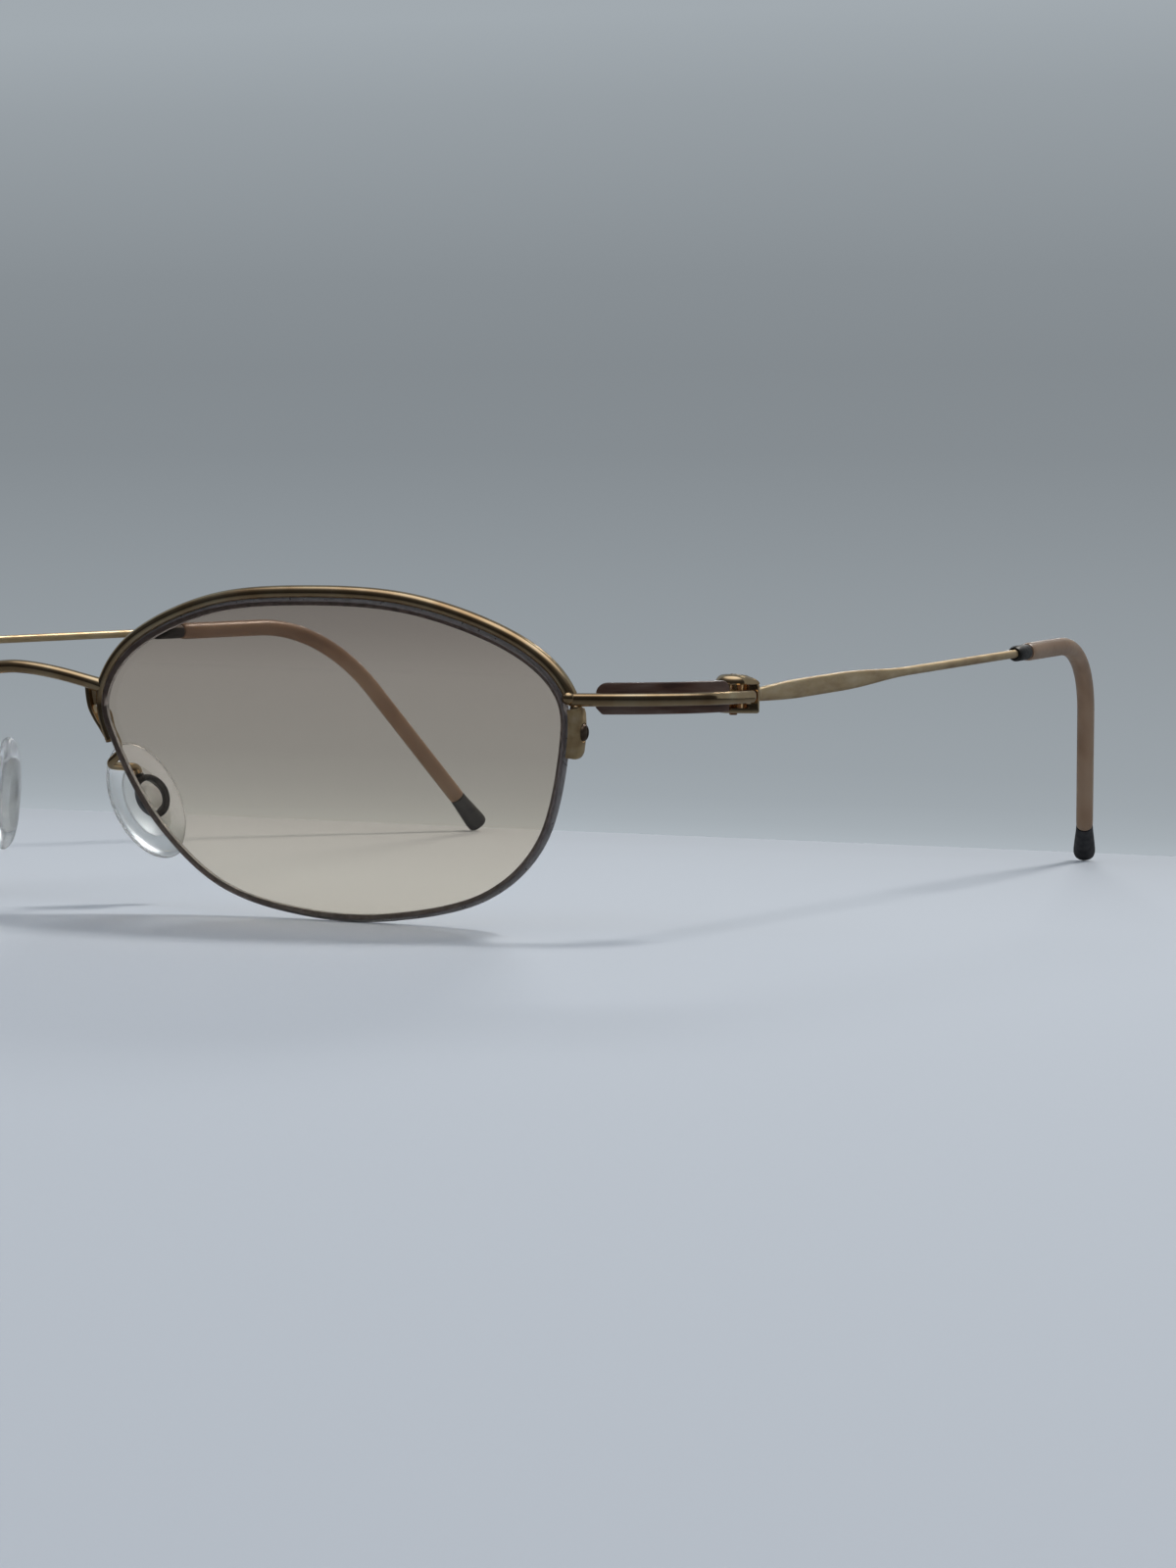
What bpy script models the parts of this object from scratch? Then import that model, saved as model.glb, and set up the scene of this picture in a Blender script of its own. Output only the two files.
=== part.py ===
"""Half-rim sunglasses: gold wire frame, tinted lenses on nylon cords, rocking nose pads, folding temples.

Metres, +Z up. The glasses face -Y and stand on the lens cords and on the two temple tips, with +X on the
wearer's left. The origin is the middle of their footprint, on the surface that they stand on.
Every piece of the left side is modelled first, and the right side is its mirror image.
Heights are counted from the datum line, the level of the middle of the lenses.
"""
import math

import bmesh
import bpy
from mathutils import Matrix, Vector

# Lenses
LENS_WIDTH = 0.0476
LENS_HEIGHT = 0.0280
LENS_SPACING = 0.0189
LENS_THICKNESS = 0.0017
LENS_CURVE_RADIUS = 0.150
LENS_BULGE = 0.00145
LENS_TILT = math.radians(2.7)
LENS_WRAP = math.radians(3.0)

# Shape of a lens as (outward, upward) shares of its half width and half height
LENS_OUTLINE = [
    (1.00, 0.12), (0.97, 0.475), (0.76, 0.755), (0.375, 0.96), (-0.06, 1.0),
    (-0.48, 0.935), (-0.835, 0.69), (-0.985, 0.36), (-0.93, 0.03), (-0.73, -0.455),
    (-0.44, -0.835), (-0.07, -0.985), (0.305, -0.985), (0.68, -0.83), (0.91, -0.47),
]
STEPS_PER_POINT = 4
LENS_RINGS = (0.35, 0.72)
GROOVE_TAPER = 0.7

# Clearances: between neighbours, in grooves and bores, and under the screw heads
GAP = 0.00025
FIT = 0.00015

# Lens cord, upper liner and the half rim that holds them
CORD_DIAMETER = 0.0006
LINER_HEIGHT = 0.0006
LINER_THICKNESS = 0.0004
RIM_HEIGHT = 0.0011
RIM_DEPTH = 0.0013
RIM_WIDEST = 0.4
RIM_INNER_WIDTH = 0.85
TAB_HEIGHT = 0.0009
TAB_BOTTOM = 0.0013
BRIDGE_LEVEL = 0.0056

# Bridge
BRIDGE_DIAMETER = 0.0012
BRIDGE_RISE = 0.0016
BRIDGE_BOW = 0.0014
BRIDGE_ARCH = 1.7

# Outer end of the front: the wire to the hinge, its strip, the cord block and its screw
HINGE_OUTSET = 0.0109
HINGE_SETBACK = 0.0118
HINGE_LEVEL = 0.0063
ENDPIECE_HEIGHT = 0.00115
ENDPIECE_WIDTH = 0.00120
ENDPIECE_ROOT_LEVEL = 0.0058
ENDPIECE_CORNER_SETBACK = 0.0046
ENDPIECE_CORNER_INSET = 0.0008
ENDPIECE_REACH = 0.0025
ENDPIECE_TIP = [(1.94, 1.0), (2.0, 0.8)]
STRIP_HEIGHT = 0.00275
STRIP_RAISE = 0.00009
STRIP_THICKNESS = 0.0007
STRIP_CORNER = 0.0010
STRIP_CHAMFER = 0.0008
STRIP_START = 0.115
STRIP_END = 1.13
BLOCK_HEIGHT = 0.0040
BLOCK_WIDTH = 0.0013
BLOCK_DEPTH = 0.0014
BLOCK_FORWARD = -0.0001
BLOCK_CORNER = 0.0003
BLOCK_FOOT_HEIGHT = 0.0006
BLOCK_FOOT_TRIMS = [(0.0, 0.00036), (0.3, 0.00012), (1.0, 0.0)]
BLOCK_SCREW_LEVEL = 0.0022
BLOCK_SCREW_SHANK = 0.0007
BLOCK_SCREW_HEAD = 0.0015

# Hinge
PIN_INSET = 0.0018
PIN_ALONG = 0.0021
PIN_DIAMETER = 0.0007
EYE_DIAMETER = 0.0019
EYE_TONGUE = (0.0012, 0.0017)
EYE_TONGUE_ROUNDING = 0.0003
UPPER_LUG_DIAMETER = 0.0032
LOWER_LUG_DIAMETER = 0.0026
LUG_ROUNDING = 0.00025
UPPER_LUG_GAP = 0.0005
LOWER_LUG_GAP = 0.0004
WALL_THICKNESS = 0.00025
UPPER_LUG_HEIGHT = 0.00055
LOWER_LUG_HEIGHT = 0.00045
COLUMN_DEPTH = 0.00045
COLUMN_WIDTH = 0.0008
COLUMN_CORNER = 0.0002
HINGE_SCREW_HEAD = 0.0015
SCREW_HEAD_HEIGHT = 0.0003
SCREW_SLOT_WIDTH = 0.0003
SCREW_DOME = [(0.0, 1.0), (0.55, 0.87), (1.0, 0.45)]

# Temples
TEMPLE_SETBACK = 0.0034
TEMPLE_INSET = 0.00035
TEMPLE_LIFT = 0.00017
TEMPLE_SPLAY = math.radians(10.06)
TEMPLE_RISE = math.radians(2.12)
TEMPLE_STRAIGHT = 0.0957
TIP_BEND_RADIUS = 0.0220
TIP_BEND = math.radians(51.0)
TIP_LEAN = math.radians(13.0)
WIRE_DIAMETER = 0.00085
LEAF_THICKNESS = 0.00075
LEAF_HEIGHT = 0.0017
LEAF_START_HEIGHT = 0.0011
LEAF_WIDEST = 0.0124
LEAF_FLAT = 0.0103
LEAF_TAPER = 0.0309
LEAF_END = 0.0432
COLLAR_START = 0.0790
COLLAR_LENGTH = 0.0042
COLLAR_DIAMETER = 0.00160
SLEEVE_DIAMETER = 0.00185
CAP_LENGTH = 0.0045
CAP_DIAMETER = 0.0024
CAP_PROFILE = [(0.0, 0.77), (0.35, 0.87), (0.77, 1.0), (0.9, 1.0), (1.0, 0.8)]
COLLAR_EDGE = 0.0004

# Nose pads
PAD_LENGTH = 0.0115
PAD_WIDTH = 0.0069
PAD_THICKNESS = 0.0020
PAD_OUTSET = 0.00825
PAD_SETBACK = 0.0080
PAD_LEVEL = -0.0047
PAD_BOX_WALL = 0.0006
PAD_BOX_HEIGHT = 0.0013
PAD_BOX_STANDOFF = 0.0006
PAD_BOX_RAISE = 0.0004
PAD_STUD_LENGTH = 0.0023
PAD_STUD_WIDTH = 0.0015
PAD_STUD_GAP = 0.00035
PAD_STUD_ROUNDING = 0.0002
PAD_ARM_DIAMETER = 0.0008
PAD_ARM_ROOT_LEVEL = 0.0036
PAD_ARM_FIRST_STEP = 0.0007
PAD_ARM_LAST_STEP = 0.0006
PAD_ARM_FROM_TAB = [(0.0001, 0.0013, -0.0014), (0.0005, 0.0018, -0.0032)]
PAD_ARM_FROM_BOX = [(-0.0011, -0.0034, 0.0009), (-0.0004, -0.0020, 0.0006)]

# Outline of a nose pad from its domed side to its flat side, as shares of its thickness and half size
PAD_PROFILE = [
    (-0.60, 0.30), (-0.56, 0.60), (-0.42, 0.84), (-0.18, 0.97), (0.05, 1.0), (0.28, 0.93), (0.40, 0.75),
]

# Corner cuts of swept sections, as shares of their size: nearly round wire, flattened wire and the leaf
ROUND_CUT = 0.29
FLAT_CUT = 0.17
LEAF_CUT = 0.14

# Facets round small turned pieces, tubes and pads, and sections along swept pieces
TURNED_SIDES = 16
TUBE_SIDES = 10
BRIDGE_STATIONS = 16
ENDPIECE_STATIONS = 14
STRIP_STATIONS = 20
HULL_SIDES = 28
LEAF_STATIONS = 16
PAD_SIDES = 20

UP = Vector((0.0, 0.0, 1.0))
BACKWARD = Vector((0.0, 1.0, 0.0))
OUTBOARD = Vector((1.0, 0.0, 0.0))

# Colour, roughness and metallic value of each material
LOOKS = {
    "gold": ((0.62, 0.44, 0.20, 1.0), 0.22, 1.0),
    "gold_satin": ((0.52, 0.42, 0.26, 1.0), 0.38, 1.0),
    "copper": ((0.55, 0.25, 0.12, 1.0), 0.35, 1.0),
    "brown_lacquer": ((0.10, 0.045, 0.03, 1.0), 0.35, 0.0),
    "lens_tint": ((0.42, 0.38, 0.33, 1.0), 0.03, 0.0),
    "nylon": ((0.45, 0.44, 0.46, 1.0), 0.25, 0.0),
    "clear_silicone": ((0.80, 0.80, 0.76, 1.0), 0.10, 0.0),
    "dark_steel": ((0.07, 0.065, 0.06, 1.0), 0.40, 0.8),
    "amber": ((0.22, 0.12, 0.05, 1.0), 0.25, 0.0),
    "black_rubber": ((0.02, 0.02, 0.022, 1.0), 0.55, 0.0),
}


def clear_scene():
    for item in list(bpy.data.objects):
        bpy.data.objects.remove(item, do_unlink=True)


def material(name):
    """The Principled material of that name, made on first use."""
    found = bpy.data.materials.get(name)
    if found:
        return found
    made = bpy.data.materials.new(name)
    made.use_nodes = True
    shader = made.node_tree.nodes["Principled BSDF"]
    colour, roughness, metallic = LOOKS[name]
    shader.inputs["Base Color"].default_value = colour
    shader.inputs["Roughness"].default_value = roughness
    shader.inputs["Metallic"].default_value = metallic
    made.diffuse_color = colour
    return made


def add_object(name, data, look):
    item = bpy.data.objects.new(name, data)
    bpy.context.collection.objects.link(item)
    if look:
        data.materials.append(material(look))
    return item


def finish_mesh(name, bm, look, sharp=math.radians(35.0)):
    """Turn a closed bmesh into an object with outward faces and smooth round sides."""
    bmesh.ops.recalc_face_normals(bm, faces=bm.faces)
    mesh = bpy.data.meshes.new(name)
    bm.to_mesh(mesh)
    bm.free()
    mesh.shade_smooth()
    mesh.set_sharp_from_angle(angle=sharp)
    return add_object(name, mesh, look)


def skin(bm, rows, closed_rows=True, loop=False):
    """Faces between neighbouring rows of vertices, each row a ring unless closed_rows is false."""
    count = len(rows[0])
    pairs = list(zip(rows, rows[1:]))
    if loop:
        pairs.append((rows[-1], rows[0]))
    for near, far in pairs:
        for k in range(count if closed_rows else count - 1):
            nxt = (k + 1) % count
            bm.faces.new((near[k], near[nxt], far[nxt], far[k]))


def sweep(name, rings, look, loop=False):
    """A solid through a list of rings of points, capped at both ends unless it closes on itself."""
    bm = bmesh.new()
    rows = [[bm.verts.new(point) for point in ring] for ring in rings]
    skin(bm, rows, loop=loop)
    if not loop:
        bm.faces.new(rows[0])
        bm.faces.new(rows[-1])
    return finish_mesh(name, bm, look)


def hollow_sweep(name, outer_rings, inner_rings, look):
    """A tube open at both ends, between outer rings and as many inner rings."""
    bm = bmesh.new()
    outer = [[bm.verts.new(point) for point in ring] for ring in outer_rings]
    inner = [[bm.verts.new(point) for point in ring] for ring in inner_rings]
    skin(bm, outer)
    skin(bm, inner)
    skin(bm, [outer[0], inner[0]])
    skin(bm, [outer[-1], inner[-1]])
    return finish_mesh(name, bm, look)


def ellipse(centre, axis_a, axis_b, radius_a, radius_b, sides):
    """Points round an ellipse with the given axes and half sizes."""
    turns = [2.0 * math.pi * k / sides for k in range(sides)]
    return [centre + axis_a * radius_a * math.cos(a) + axis_b * radius_b * math.sin(a) for a in turns]


def across_axis(direction):
    """Two unit vectors square to a direction and to each other."""
    helper = UP if abs(direction.z) < 0.9 else BACKWARD
    first = direction.cross(helper).normalized()
    return first, direction.cross(first).normalized()


def turned(name, start, direction, profile, look, sides=TURNED_SIDES):
    """A turned solid about a line: profile is (distance along, radius), with closed ends."""
    first, second = across_axis(direction)
    rings = []
    for along, radius in profile:
        rings.append(ellipse(start + direction * along, first, second, radius, radius, sides))
    return sweep(name, rings, look)


def cut_corner_ring(centre, axis_a, axis_b, size_a, size_b, corner):
    """Rectangle with cut corners, as eight points, for flat strips and, at a wide cut, for round wire."""
    half_a = size_a / 2.0
    half_b = size_b / 2.0
    points = []
    for sign_a, sign_b, order in ((1, 1, 0), (-1, 1, 1), (-1, -1, 0), (1, -1, 1)):
        pair = [(half_a, half_b - corner), (half_a - corner, half_b)]
        if order:
            pair.reverse()
        points += [centre + axis_a * sign_a * a + axis_b * sign_b * b for a, b in pair]
    return points


def hide_cutter(item):
    item.hide_render = True
    item.display_type = "WIRE"
    return item


def boolean(item, cutter, operation):
    change = item.modifiers.new(operation.title(), "BOOLEAN")
    change.operation = operation
    change.solver = "EXACT"
    change.object = hide_cutter(cutter)
    cutter.parent = item


# Lens geometry

def lens_axes():
    """Outward, upward and forward axes of the left lens."""
    across = Vector((math.cos(LENS_WRAP), math.sin(LENS_WRAP), 0.0))
    upward = Vector((0.0, -math.sin(LENS_TILT), math.cos(LENS_TILT)))
    upward = (upward - across * upward.dot(across)).normalized()
    return across, upward, across.cross(upward)


LENS_ACROSS, LENS_UPWARD, LENS_FORWARD = lens_axes()
LENS_OUTER_EDGE = LENS_SPACING / 2.0 + LENS_WIDTH
LENS_VERTEX = Vector((LENS_SPACING / 2.0 + LENS_WIDTH / 2.0, -LENS_BULGE, 0.0))
LENS_SPHERE_CENTRE = LENS_VERTEX - LENS_FORWARD * LENS_CURVE_RADIUS


def outline_share(t):
    """Point of the smooth closed curve through LENS_OUTLINE, with t counting from point to point."""
    span = math.floor(t)
    part = t - span
    count = len(LENS_OUTLINE)
    before, start, end, after = [Vector(LENS_OUTLINE[(span + k) % count]) for k in (-1, 0, 1, 2)]
    linear = (end - before) * part
    square = (before * 2.0 - start * 5.0 + end * 4.0 - after) * part ** 2
    cube = (start * 3.0 - before - end * 3.0 + after) * part ** 3
    return start + (linear + square + cube) / 2.0


def outline_box():
    """Middle and half size of the drawn outline, so that it can be fitted to the lens size."""
    samples = [outline_share(k / 16.0) for k in range(16 * len(LENS_OUTLINE))]
    low = Vector((min(p.x for p in samples), min(p.y for p in samples)))
    high = Vector((max(p.x for p in samples), max(p.y for p in samples)))
    return (low + high) / 2.0, (high - low) / 2.0


OUTLINE_MIDDLE, OUTLINE_HALF = outline_box()


def outline_point(t):
    share = outline_share(t) - OUTLINE_MIDDLE
    return share.x / OUTLINE_HALF.x * LENS_WIDTH / 2.0, share.y / OUTLINE_HALF.y * LENS_HEIGHT / 2.0


def lens_point(u, v, depth):
    """Point of the curved lens at u outward and v upward from its middle, depth behind its front surface."""
    drop = math.sqrt(LENS_CURVE_RADIUS ** 2 - u ** 2 - v ** 2)
    arm = LENS_ACROSS * u + LENS_UPWARD * v + LENS_FORWARD * drop
    return LENS_SPHERE_CENTRE + arm * (1.0 - depth / LENS_CURVE_RADIUS)


def edge_frame(t):
    """Middle of the lens edge at t, with the directions along it, outward from it and forward."""
    steps = (0.0, 0.02, -0.02)
    point, ahead, behind = [lens_point(*outline_point(t + d), LENS_THICKNESS / 2.0) for d in steps]
    along = (ahead - behind).normalized()
    forward = (point - LENS_SPHERE_CENTRE).normalized()
    return point, along, along.cross(forward).normalized(), forward


def edge_ring(t, profile):
    """Profile of (outward, forward) distances set on the lens edge at t."""
    point, _, outward, forward = edge_frame(t)
    return [point + outward * a + forward * b for a, b in profile]


def level_ring(t, profile, level):
    """The profile at t, with each point moved along the lens edge to one level."""
    along = edge_frame(t)[1]
    return [point + along * (level - point.z) / along.z for point in edge_ring(t, profile)]


def edge_at_level(level, start, end):
    """Place t on the outline between start and end where the lens edge passes a height over the datum."""
    rising = edge_frame(end)[0].z > edge_frame(start)[0].z
    low, high = (start, end) if rising else (end, start)
    for _ in range(40):
        middle = (low + high) / 2.0
        if edge_frame(middle)[0].z < level:
            low = middle
        else:
            high = middle
    return (low + high) / 2.0


def steps_between(start, end, per_point=STEPS_PER_POINT):
    count = max(2, round(abs(end - start) * per_point))
    return [start + (end - start) * k / count for k in range(count + 1)]


# Places on the lens edge: outline points 0 to 2 climb the outer end, 6 to 9 go down the nose side
OUTER_SPAN = (-1.0, 2.0)
NOSE_SPAN = (5.5, 9.0)
WIRE_HALF = ENDPIECE_HEIGHT / 2.0
ENDPIECE_PLACE = edge_at_level(ENDPIECE_ROOT_LEVEL, *OUTER_SPAN)
RIM_OUTER_LEVEL = ENDPIECE_ROOT_LEVEL + WIRE_HALF + GAP
RIM_OUTER_START = edge_at_level(RIM_OUTER_LEVEL + RIM_HEIGHT / 2.0, *OUTER_SPAN)
BRIDGE_PLACE = edge_at_level(BRIDGE_LEVEL, *NOSE_SPAN)
TAB_TOP_PLACE = edge_at_level(BRIDGE_LEVEL - BRIDGE_DIAMETER, *NOSE_SPAN)
TAB_END = edge_at_level(TAB_BOTTOM, *NOSE_SPAN)
CORD_TOP = edge_at_level(BRIDGE_LEVEL - BRIDGE_DIAMETER - GAP, *NOSE_SPAN)
BLOCK_TOP_LEVEL = ENDPIECE_ROOT_LEVEL - WIRE_HALF - GAP
CORD_END = edge_at_level(BLOCK_TOP_LEVEL - CORD_DIAMETER / 2.0, *OUTER_SPAN)
GROOVE_HALF = CORD_DIAMETER / 2.0 + FIT


def make_lens():
    floor = GROOVE_HALF * GROOVE_TAPER
    groove = [(0.0, GROOVE_HALF), (-GROOVE_HALF, floor), (-GROOVE_HALF, -floor), (0.0, -GROOVE_HALF)]
    profile = [(0.0, LENS_THICKNESS / 2.0)] + groove + [(0.0, -LENS_THICKNESS / 2.0)]
    bm = bmesh.new()
    rows = []
    for k in range(STEPS_PER_POINT * len(LENS_OUTLINE)):
        t = k / STEPS_PER_POINT
        u, v = outline_point(t)
        front = [lens_point(u * s, v * s, 0.0) for s in LENS_RINGS]
        back = [lens_point(u * s, v * s, LENS_THICKNESS) for s in reversed(LENS_RINGS)]
        rows.append([bm.verts.new(p) for p in front + edge_ring(t, profile) + back])
    skin(bm, rows, closed_rows=False, loop=True)
    for depth, place in ((0.0, 0), (LENS_THICKNESS, -1)):
        pole = bm.verts.new(lens_point(0.0, 0.0, depth))
        for near, far in zip(rows, rows[1:] + rows[:1]):
            bm.faces.new((pole, near[place], far[place]))
    finish_mesh("lens", bm, "lens_tint")


def rim_profile(height):
    """Outline of the rim wire: an oval outside with a channel for the liner or the cord inside."""
    inner = GAP
    outer = GAP + height
    middle = inner + height * RIM_WIDEST
    half = RIM_DEPTH / 2.0
    channel = LINER_THICKNESS / 2.0 + FIT
    bottom = LINER_HEIGHT / 2.0 + FIT
    turns = [math.radians(-90.0 + 30.0 * k) for k in range(7)]
    arc = [(middle + (outer - middle) * math.cos(a), half * math.sin(a)) for a in turns]
    inside = [(inner, half * RIM_INNER_WIDTH), (inner, channel), (bottom, channel)]
    mirrored = [(a, -b) for a, b in reversed(inside)]
    return arc + inside + mirrored


def make_rim():
    """The half rim over the top of the lens, ending in the thinner tab on the nose side."""
    rings = [level_ring(ENDPIECE_PLACE, rim_profile(RIM_HEIGHT), RIM_OUTER_LEVEL)]
    for t in steps_between(RIM_OUTER_START, BRIDGE_PLACE):
        rings.append(edge_ring(t, rim_profile(RIM_HEIGHT)))
    for t in steps_between(TAB_TOP_PLACE, TAB_END):
        rings.append(edge_ring(t, rim_profile(TAB_HEIGHT)))
    sweep("rim", rings, "gold")


def make_liner():
    """The nylon strip in the upper rim, which bears in the lens groove."""
    half = LINER_THICKNESS / 2.0
    inner = -LINER_HEIGHT / 2.0
    profile = [(inner, -half), (-inner, -half), (-inner, half), (inner, half)]
    last = edge_at_level(BRIDGE_LEVEL - BRIDGE_DIAMETER / 2.0, *NOSE_SPAN)
    first = edge_at_level(RIM_OUTER_LEVEL, *OUTER_SPAN)
    rings = [edge_ring(t, profile) for t in steps_between(first, last)]
    sweep("rim_liner", rings, "nylon")


def cord_route():
    """Middle of the cord, in the lens groove from the nose tab round the bottom and up under the block."""
    turn = len(LENS_OUTLINE)
    return [edge_frame(t)[0] for t in steps_between(CORD_TOP, turn + CORD_END)]


def curve_tube(name, route, diameter, look):
    """A round tube along a route of points, with filled ends."""
    data = bpy.data.curves.new(name, "CURVE")
    data.dimensions = "3D"
    data.bevel_depth = diameter / 2.0
    data.bevel_resolution = 2
    data.use_fill_caps = True
    data.render_resolution_u = 0
    spline = data.splines.new("POLY")
    spline.points.add(len(route) - 1)
    for place, point in zip(spline.points, route):
        place.co = (*point, 1.0)
    return add_object(name, data, look)


def make_cord():
    curve_tube("lens_cord", cord_route(), CORD_DIAMETER, "nylon")


def make_bridge():
    """The arched wire between the rims, symmetric about x = 0."""
    point, _, outward, _ = edge_frame(BRIDGE_PLACE)
    end = point + outward * (RIM_HEIGHT + 2.0 * GAP)
    rings = []
    for k in range(BRIDGE_STATIONS + 1):
        share = 2.0 * k / BRIDGE_STATIONS - 1.0
        lift = 1.0 - abs(share) ** BRIDGE_ARCH
        fall = math.copysign(BRIDGE_ARCH * abs(share) ** (BRIDGE_ARCH - 1.0), share)
        centre = Vector((end.x * share, end.y - BRIDGE_BOW * lift, end.z + BRIDGE_RISE * lift))
        slope = Vector((end.x, BRIDGE_BOW * fall, -BRIDGE_RISE * fall)).normalized()
        side = slope.cross(UP).normalized()
        radius = BRIDGE_DIAMETER / 2.0
        rings.append(ellipse(centre, side, side.cross(slope), radius, radius, TUBE_SIDES))
    return sweep("bridge", rings, "gold")


# Outer end of the front

BEND_END = Vector((LENS_OUTER_EDGE + HINGE_OUTSET, HINGE_SETBACK, HINGE_LEVEL))
REAR = Vector((ENDPIECE_CORNER_INSET, HINGE_SETBACK - ENDPIECE_CORNER_SETBACK, 0.0)).normalized()
PIN = BEND_END + REAR * PIN_ALONG + UP.cross(REAR) * PIN_INSET
TEMPLE_FRONT = BEND_END + REAR * TEMPLE_SETBACK + UP.cross(REAR) * TEMPLE_INSET + UP * TEMPLE_LIFT


def endpiece_route(share):
    """Point and direction on the endpiece wire: at the lens (0), after its bend (1) and at its tip (2)."""
    point, _, outward, _ = edge_frame(ENDPIECE_PLACE)
    root = point + outward * GAP
    level = (root.z + BEND_END.z) / 2.0
    corner = Vector((BEND_END.x - ENDPIECE_CORNER_INSET, ENDPIECE_CORNER_SETBACK, level))
    bent = min(share, 1.0)
    rest = 1.0 - bent
    place = root * rest ** 2 + corner * 2.0 * rest * bent + BEND_END * bent ** 2
    direction = ((corner - root) * rest + (BEND_END - corner) * bent).normalized()
    return place + direction * ENDPIECE_REACH * (share - bent), direction


def hull_ring(circles, level):
    """Plan outline drawn tight round some circles, each a centre and a radius, at a level over the pin."""
    points = []
    for k in range(HULL_SIDES):
        turn = 2.0 * math.pi * k / HULL_SIDES
        way = Vector((math.cos(turn), math.sin(turn), 0.0))
        centre, radius = max(circles, key=lambda circle: circle[0].dot(way) + circle[1])
        points.append(Vector((centre.x, centre.y, PIN.z + level)) + way * radius)
    return points


def bore_cutter(name, start, direction, length, diameter):
    radius = diameter / 2.0
    return turned(name, start, direction, [(0.0, radius), (length, radius)], None)


def make_endpiece():
    """The wire from the rim back past the hinge, with the eye for the pin on its inner side."""
    rings = []
    bend = [(k / ENDPIECE_STATIONS, 1.0) for k in range(ENDPIECE_STATIONS + 1)]
    for share, trim in bend + ENDPIECE_TIP:
        place, direction = endpiece_route(share)
        side = direction.cross(UP).normalized()
        corner = ENDPIECE_HEIGHT * (ROUND_CUT + (FLAT_CUT - ROUND_CUT) * min(share, 1.0))
        size = (ENDPIECE_WIDTH * trim, ENDPIECE_HEIGHT * trim)
        rings.append(cut_corner_ring(place, side, side.cross(direction), *size, corner))
    wire = sweep("endpiece", rings, "gold")
    circles = [(PIN, EYE_DIAMETER / 2.0)]
    circles += [(BEND_END + REAR * along, EYE_TONGUE_ROUNDING) for along in EYE_TONGUE]
    eye = sweep("endpiece_eye_blank", [hull_ring(circles, level) for level in (-WIRE_HALF, WIRE_HALF)], None)
    boolean(wire, eye, "UNION")
    length = ENDPIECE_HEIGHT * 3.0
    bore = bore_cutter("endpiece_bore", PIN - UP * length / 2.0, UP, length, PIN_DIAMETER + 2.0 * FIT)
    boolean(wire, bore, "DIFFERENCE")


def make_endpiece_strip():
    """The brown strip on the inner side of the endpiece wire, with a rounded and a cut front corner."""
    inset = ENDPIECE_WIDTH / 2.0 + GAP + STRIP_THICKNESS / 2.0
    places = []
    for k in range(STRIP_STATIONS + 1):
        eased = (1.0 - math.cos(math.pi * k / STRIP_STATIONS)) / 2.0
        place, direction = endpiece_route(STRIP_START + (STRIP_END - STRIP_START) * eased)
        inner = -direction.cross(UP).normalized()
        places.append((place + inner * inset, direction, inner))
    rings = []
    for place, direction, inner in places:
        from_front = (place - places[0][0]).length
        from_rear = (place - places[-1][0]).length
        top = STRIP_HEIGHT / 2.0 - corner_drop(min(from_front, from_rear))
        bottom = STRIP_HEIGHT / 2.0 - max(0.0, STRIP_CHAMFER - from_front)
        centre = place + UP * (STRIP_RAISE + (top - bottom) / 2.0)
        cut = STRIP_THICKNESS * FLAT_CUT
        rings.append(cut_corner_ring(centre, inner, UP, STRIP_THICKNESS, top + bottom, cut))
    sweep("endpiece_strip", rings, "brown_lacquer")


def corner_drop(distance):
    """How far a quarter-round corner has dropped at a distance from the end of the strip."""
    inside = max(0.0, STRIP_CORNER - distance)
    return STRIP_CORNER - math.sqrt(STRIP_CORNER ** 2 - inside ** 2)


CORD_CHANNEL = CORD_DIAMETER / 2.0 + FIT
CLAMP_PLACE = edge_at_level(BLOCK_TOP_LEVEL - BLOCK_HEIGHT + BLOCK_SCREW_LEVEL, *OUTER_SPAN)


def block_profile(trim):
    """Section of the cord block with a channel for the cord, its outer side trimmed by a length."""
    inner = GAP
    outer = GAP + BLOCK_WIDTH - trim
    front = BLOCK_FORWARD + BLOCK_DEPTH / 2.0
    back = BLOCK_FORWARD - BLOCK_DEPTH / 2.0
    side = [(inner, back), (outer - BLOCK_CORNER, back), (outer, back + BLOCK_CORNER)]
    side += [(outer, front - BLOCK_CORNER), (outer - BLOCK_CORNER, front), (inner, front)]
    channel = [(inner, CORD_CHANNEL), (CORD_CHANNEL, CORD_CHANNEL)]
    return side + channel + [(a, -b) for a, b in reversed(channel)]


def make_cord_block():
    """The gold block under the endpiece that clamps the cord's end in the lens groove."""
    low = BLOCK_TOP_LEVEL - BLOCK_HEIGHT
    rings = []
    for share, trim in BLOCK_FOOT_TRIMS:
        t = edge_at_level(low + BLOCK_FOOT_HEIGHT * share, *OUTER_SPAN)
        rings.append(edge_ring(t, block_profile(trim)))
    for share in (0.5, 1.0):
        t = edge_at_level(low + BLOCK_HEIGHT * share, *OUTER_SPAN)
        rings.append(edge_ring(t, block_profile(0.0)))
    block = sweep("cord_block", rings, "gold_satin")
    point, _, outward, _ = edge_frame(CLAMP_PLACE)
    hole = bore_cutter("block_screw_hole", point, outward, 2.0 * BLOCK_WIDTH, BLOCK_SCREW_SHANK + 2.0 * FIT)
    boolean(block, hole, "DIFFERENCE")


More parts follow.
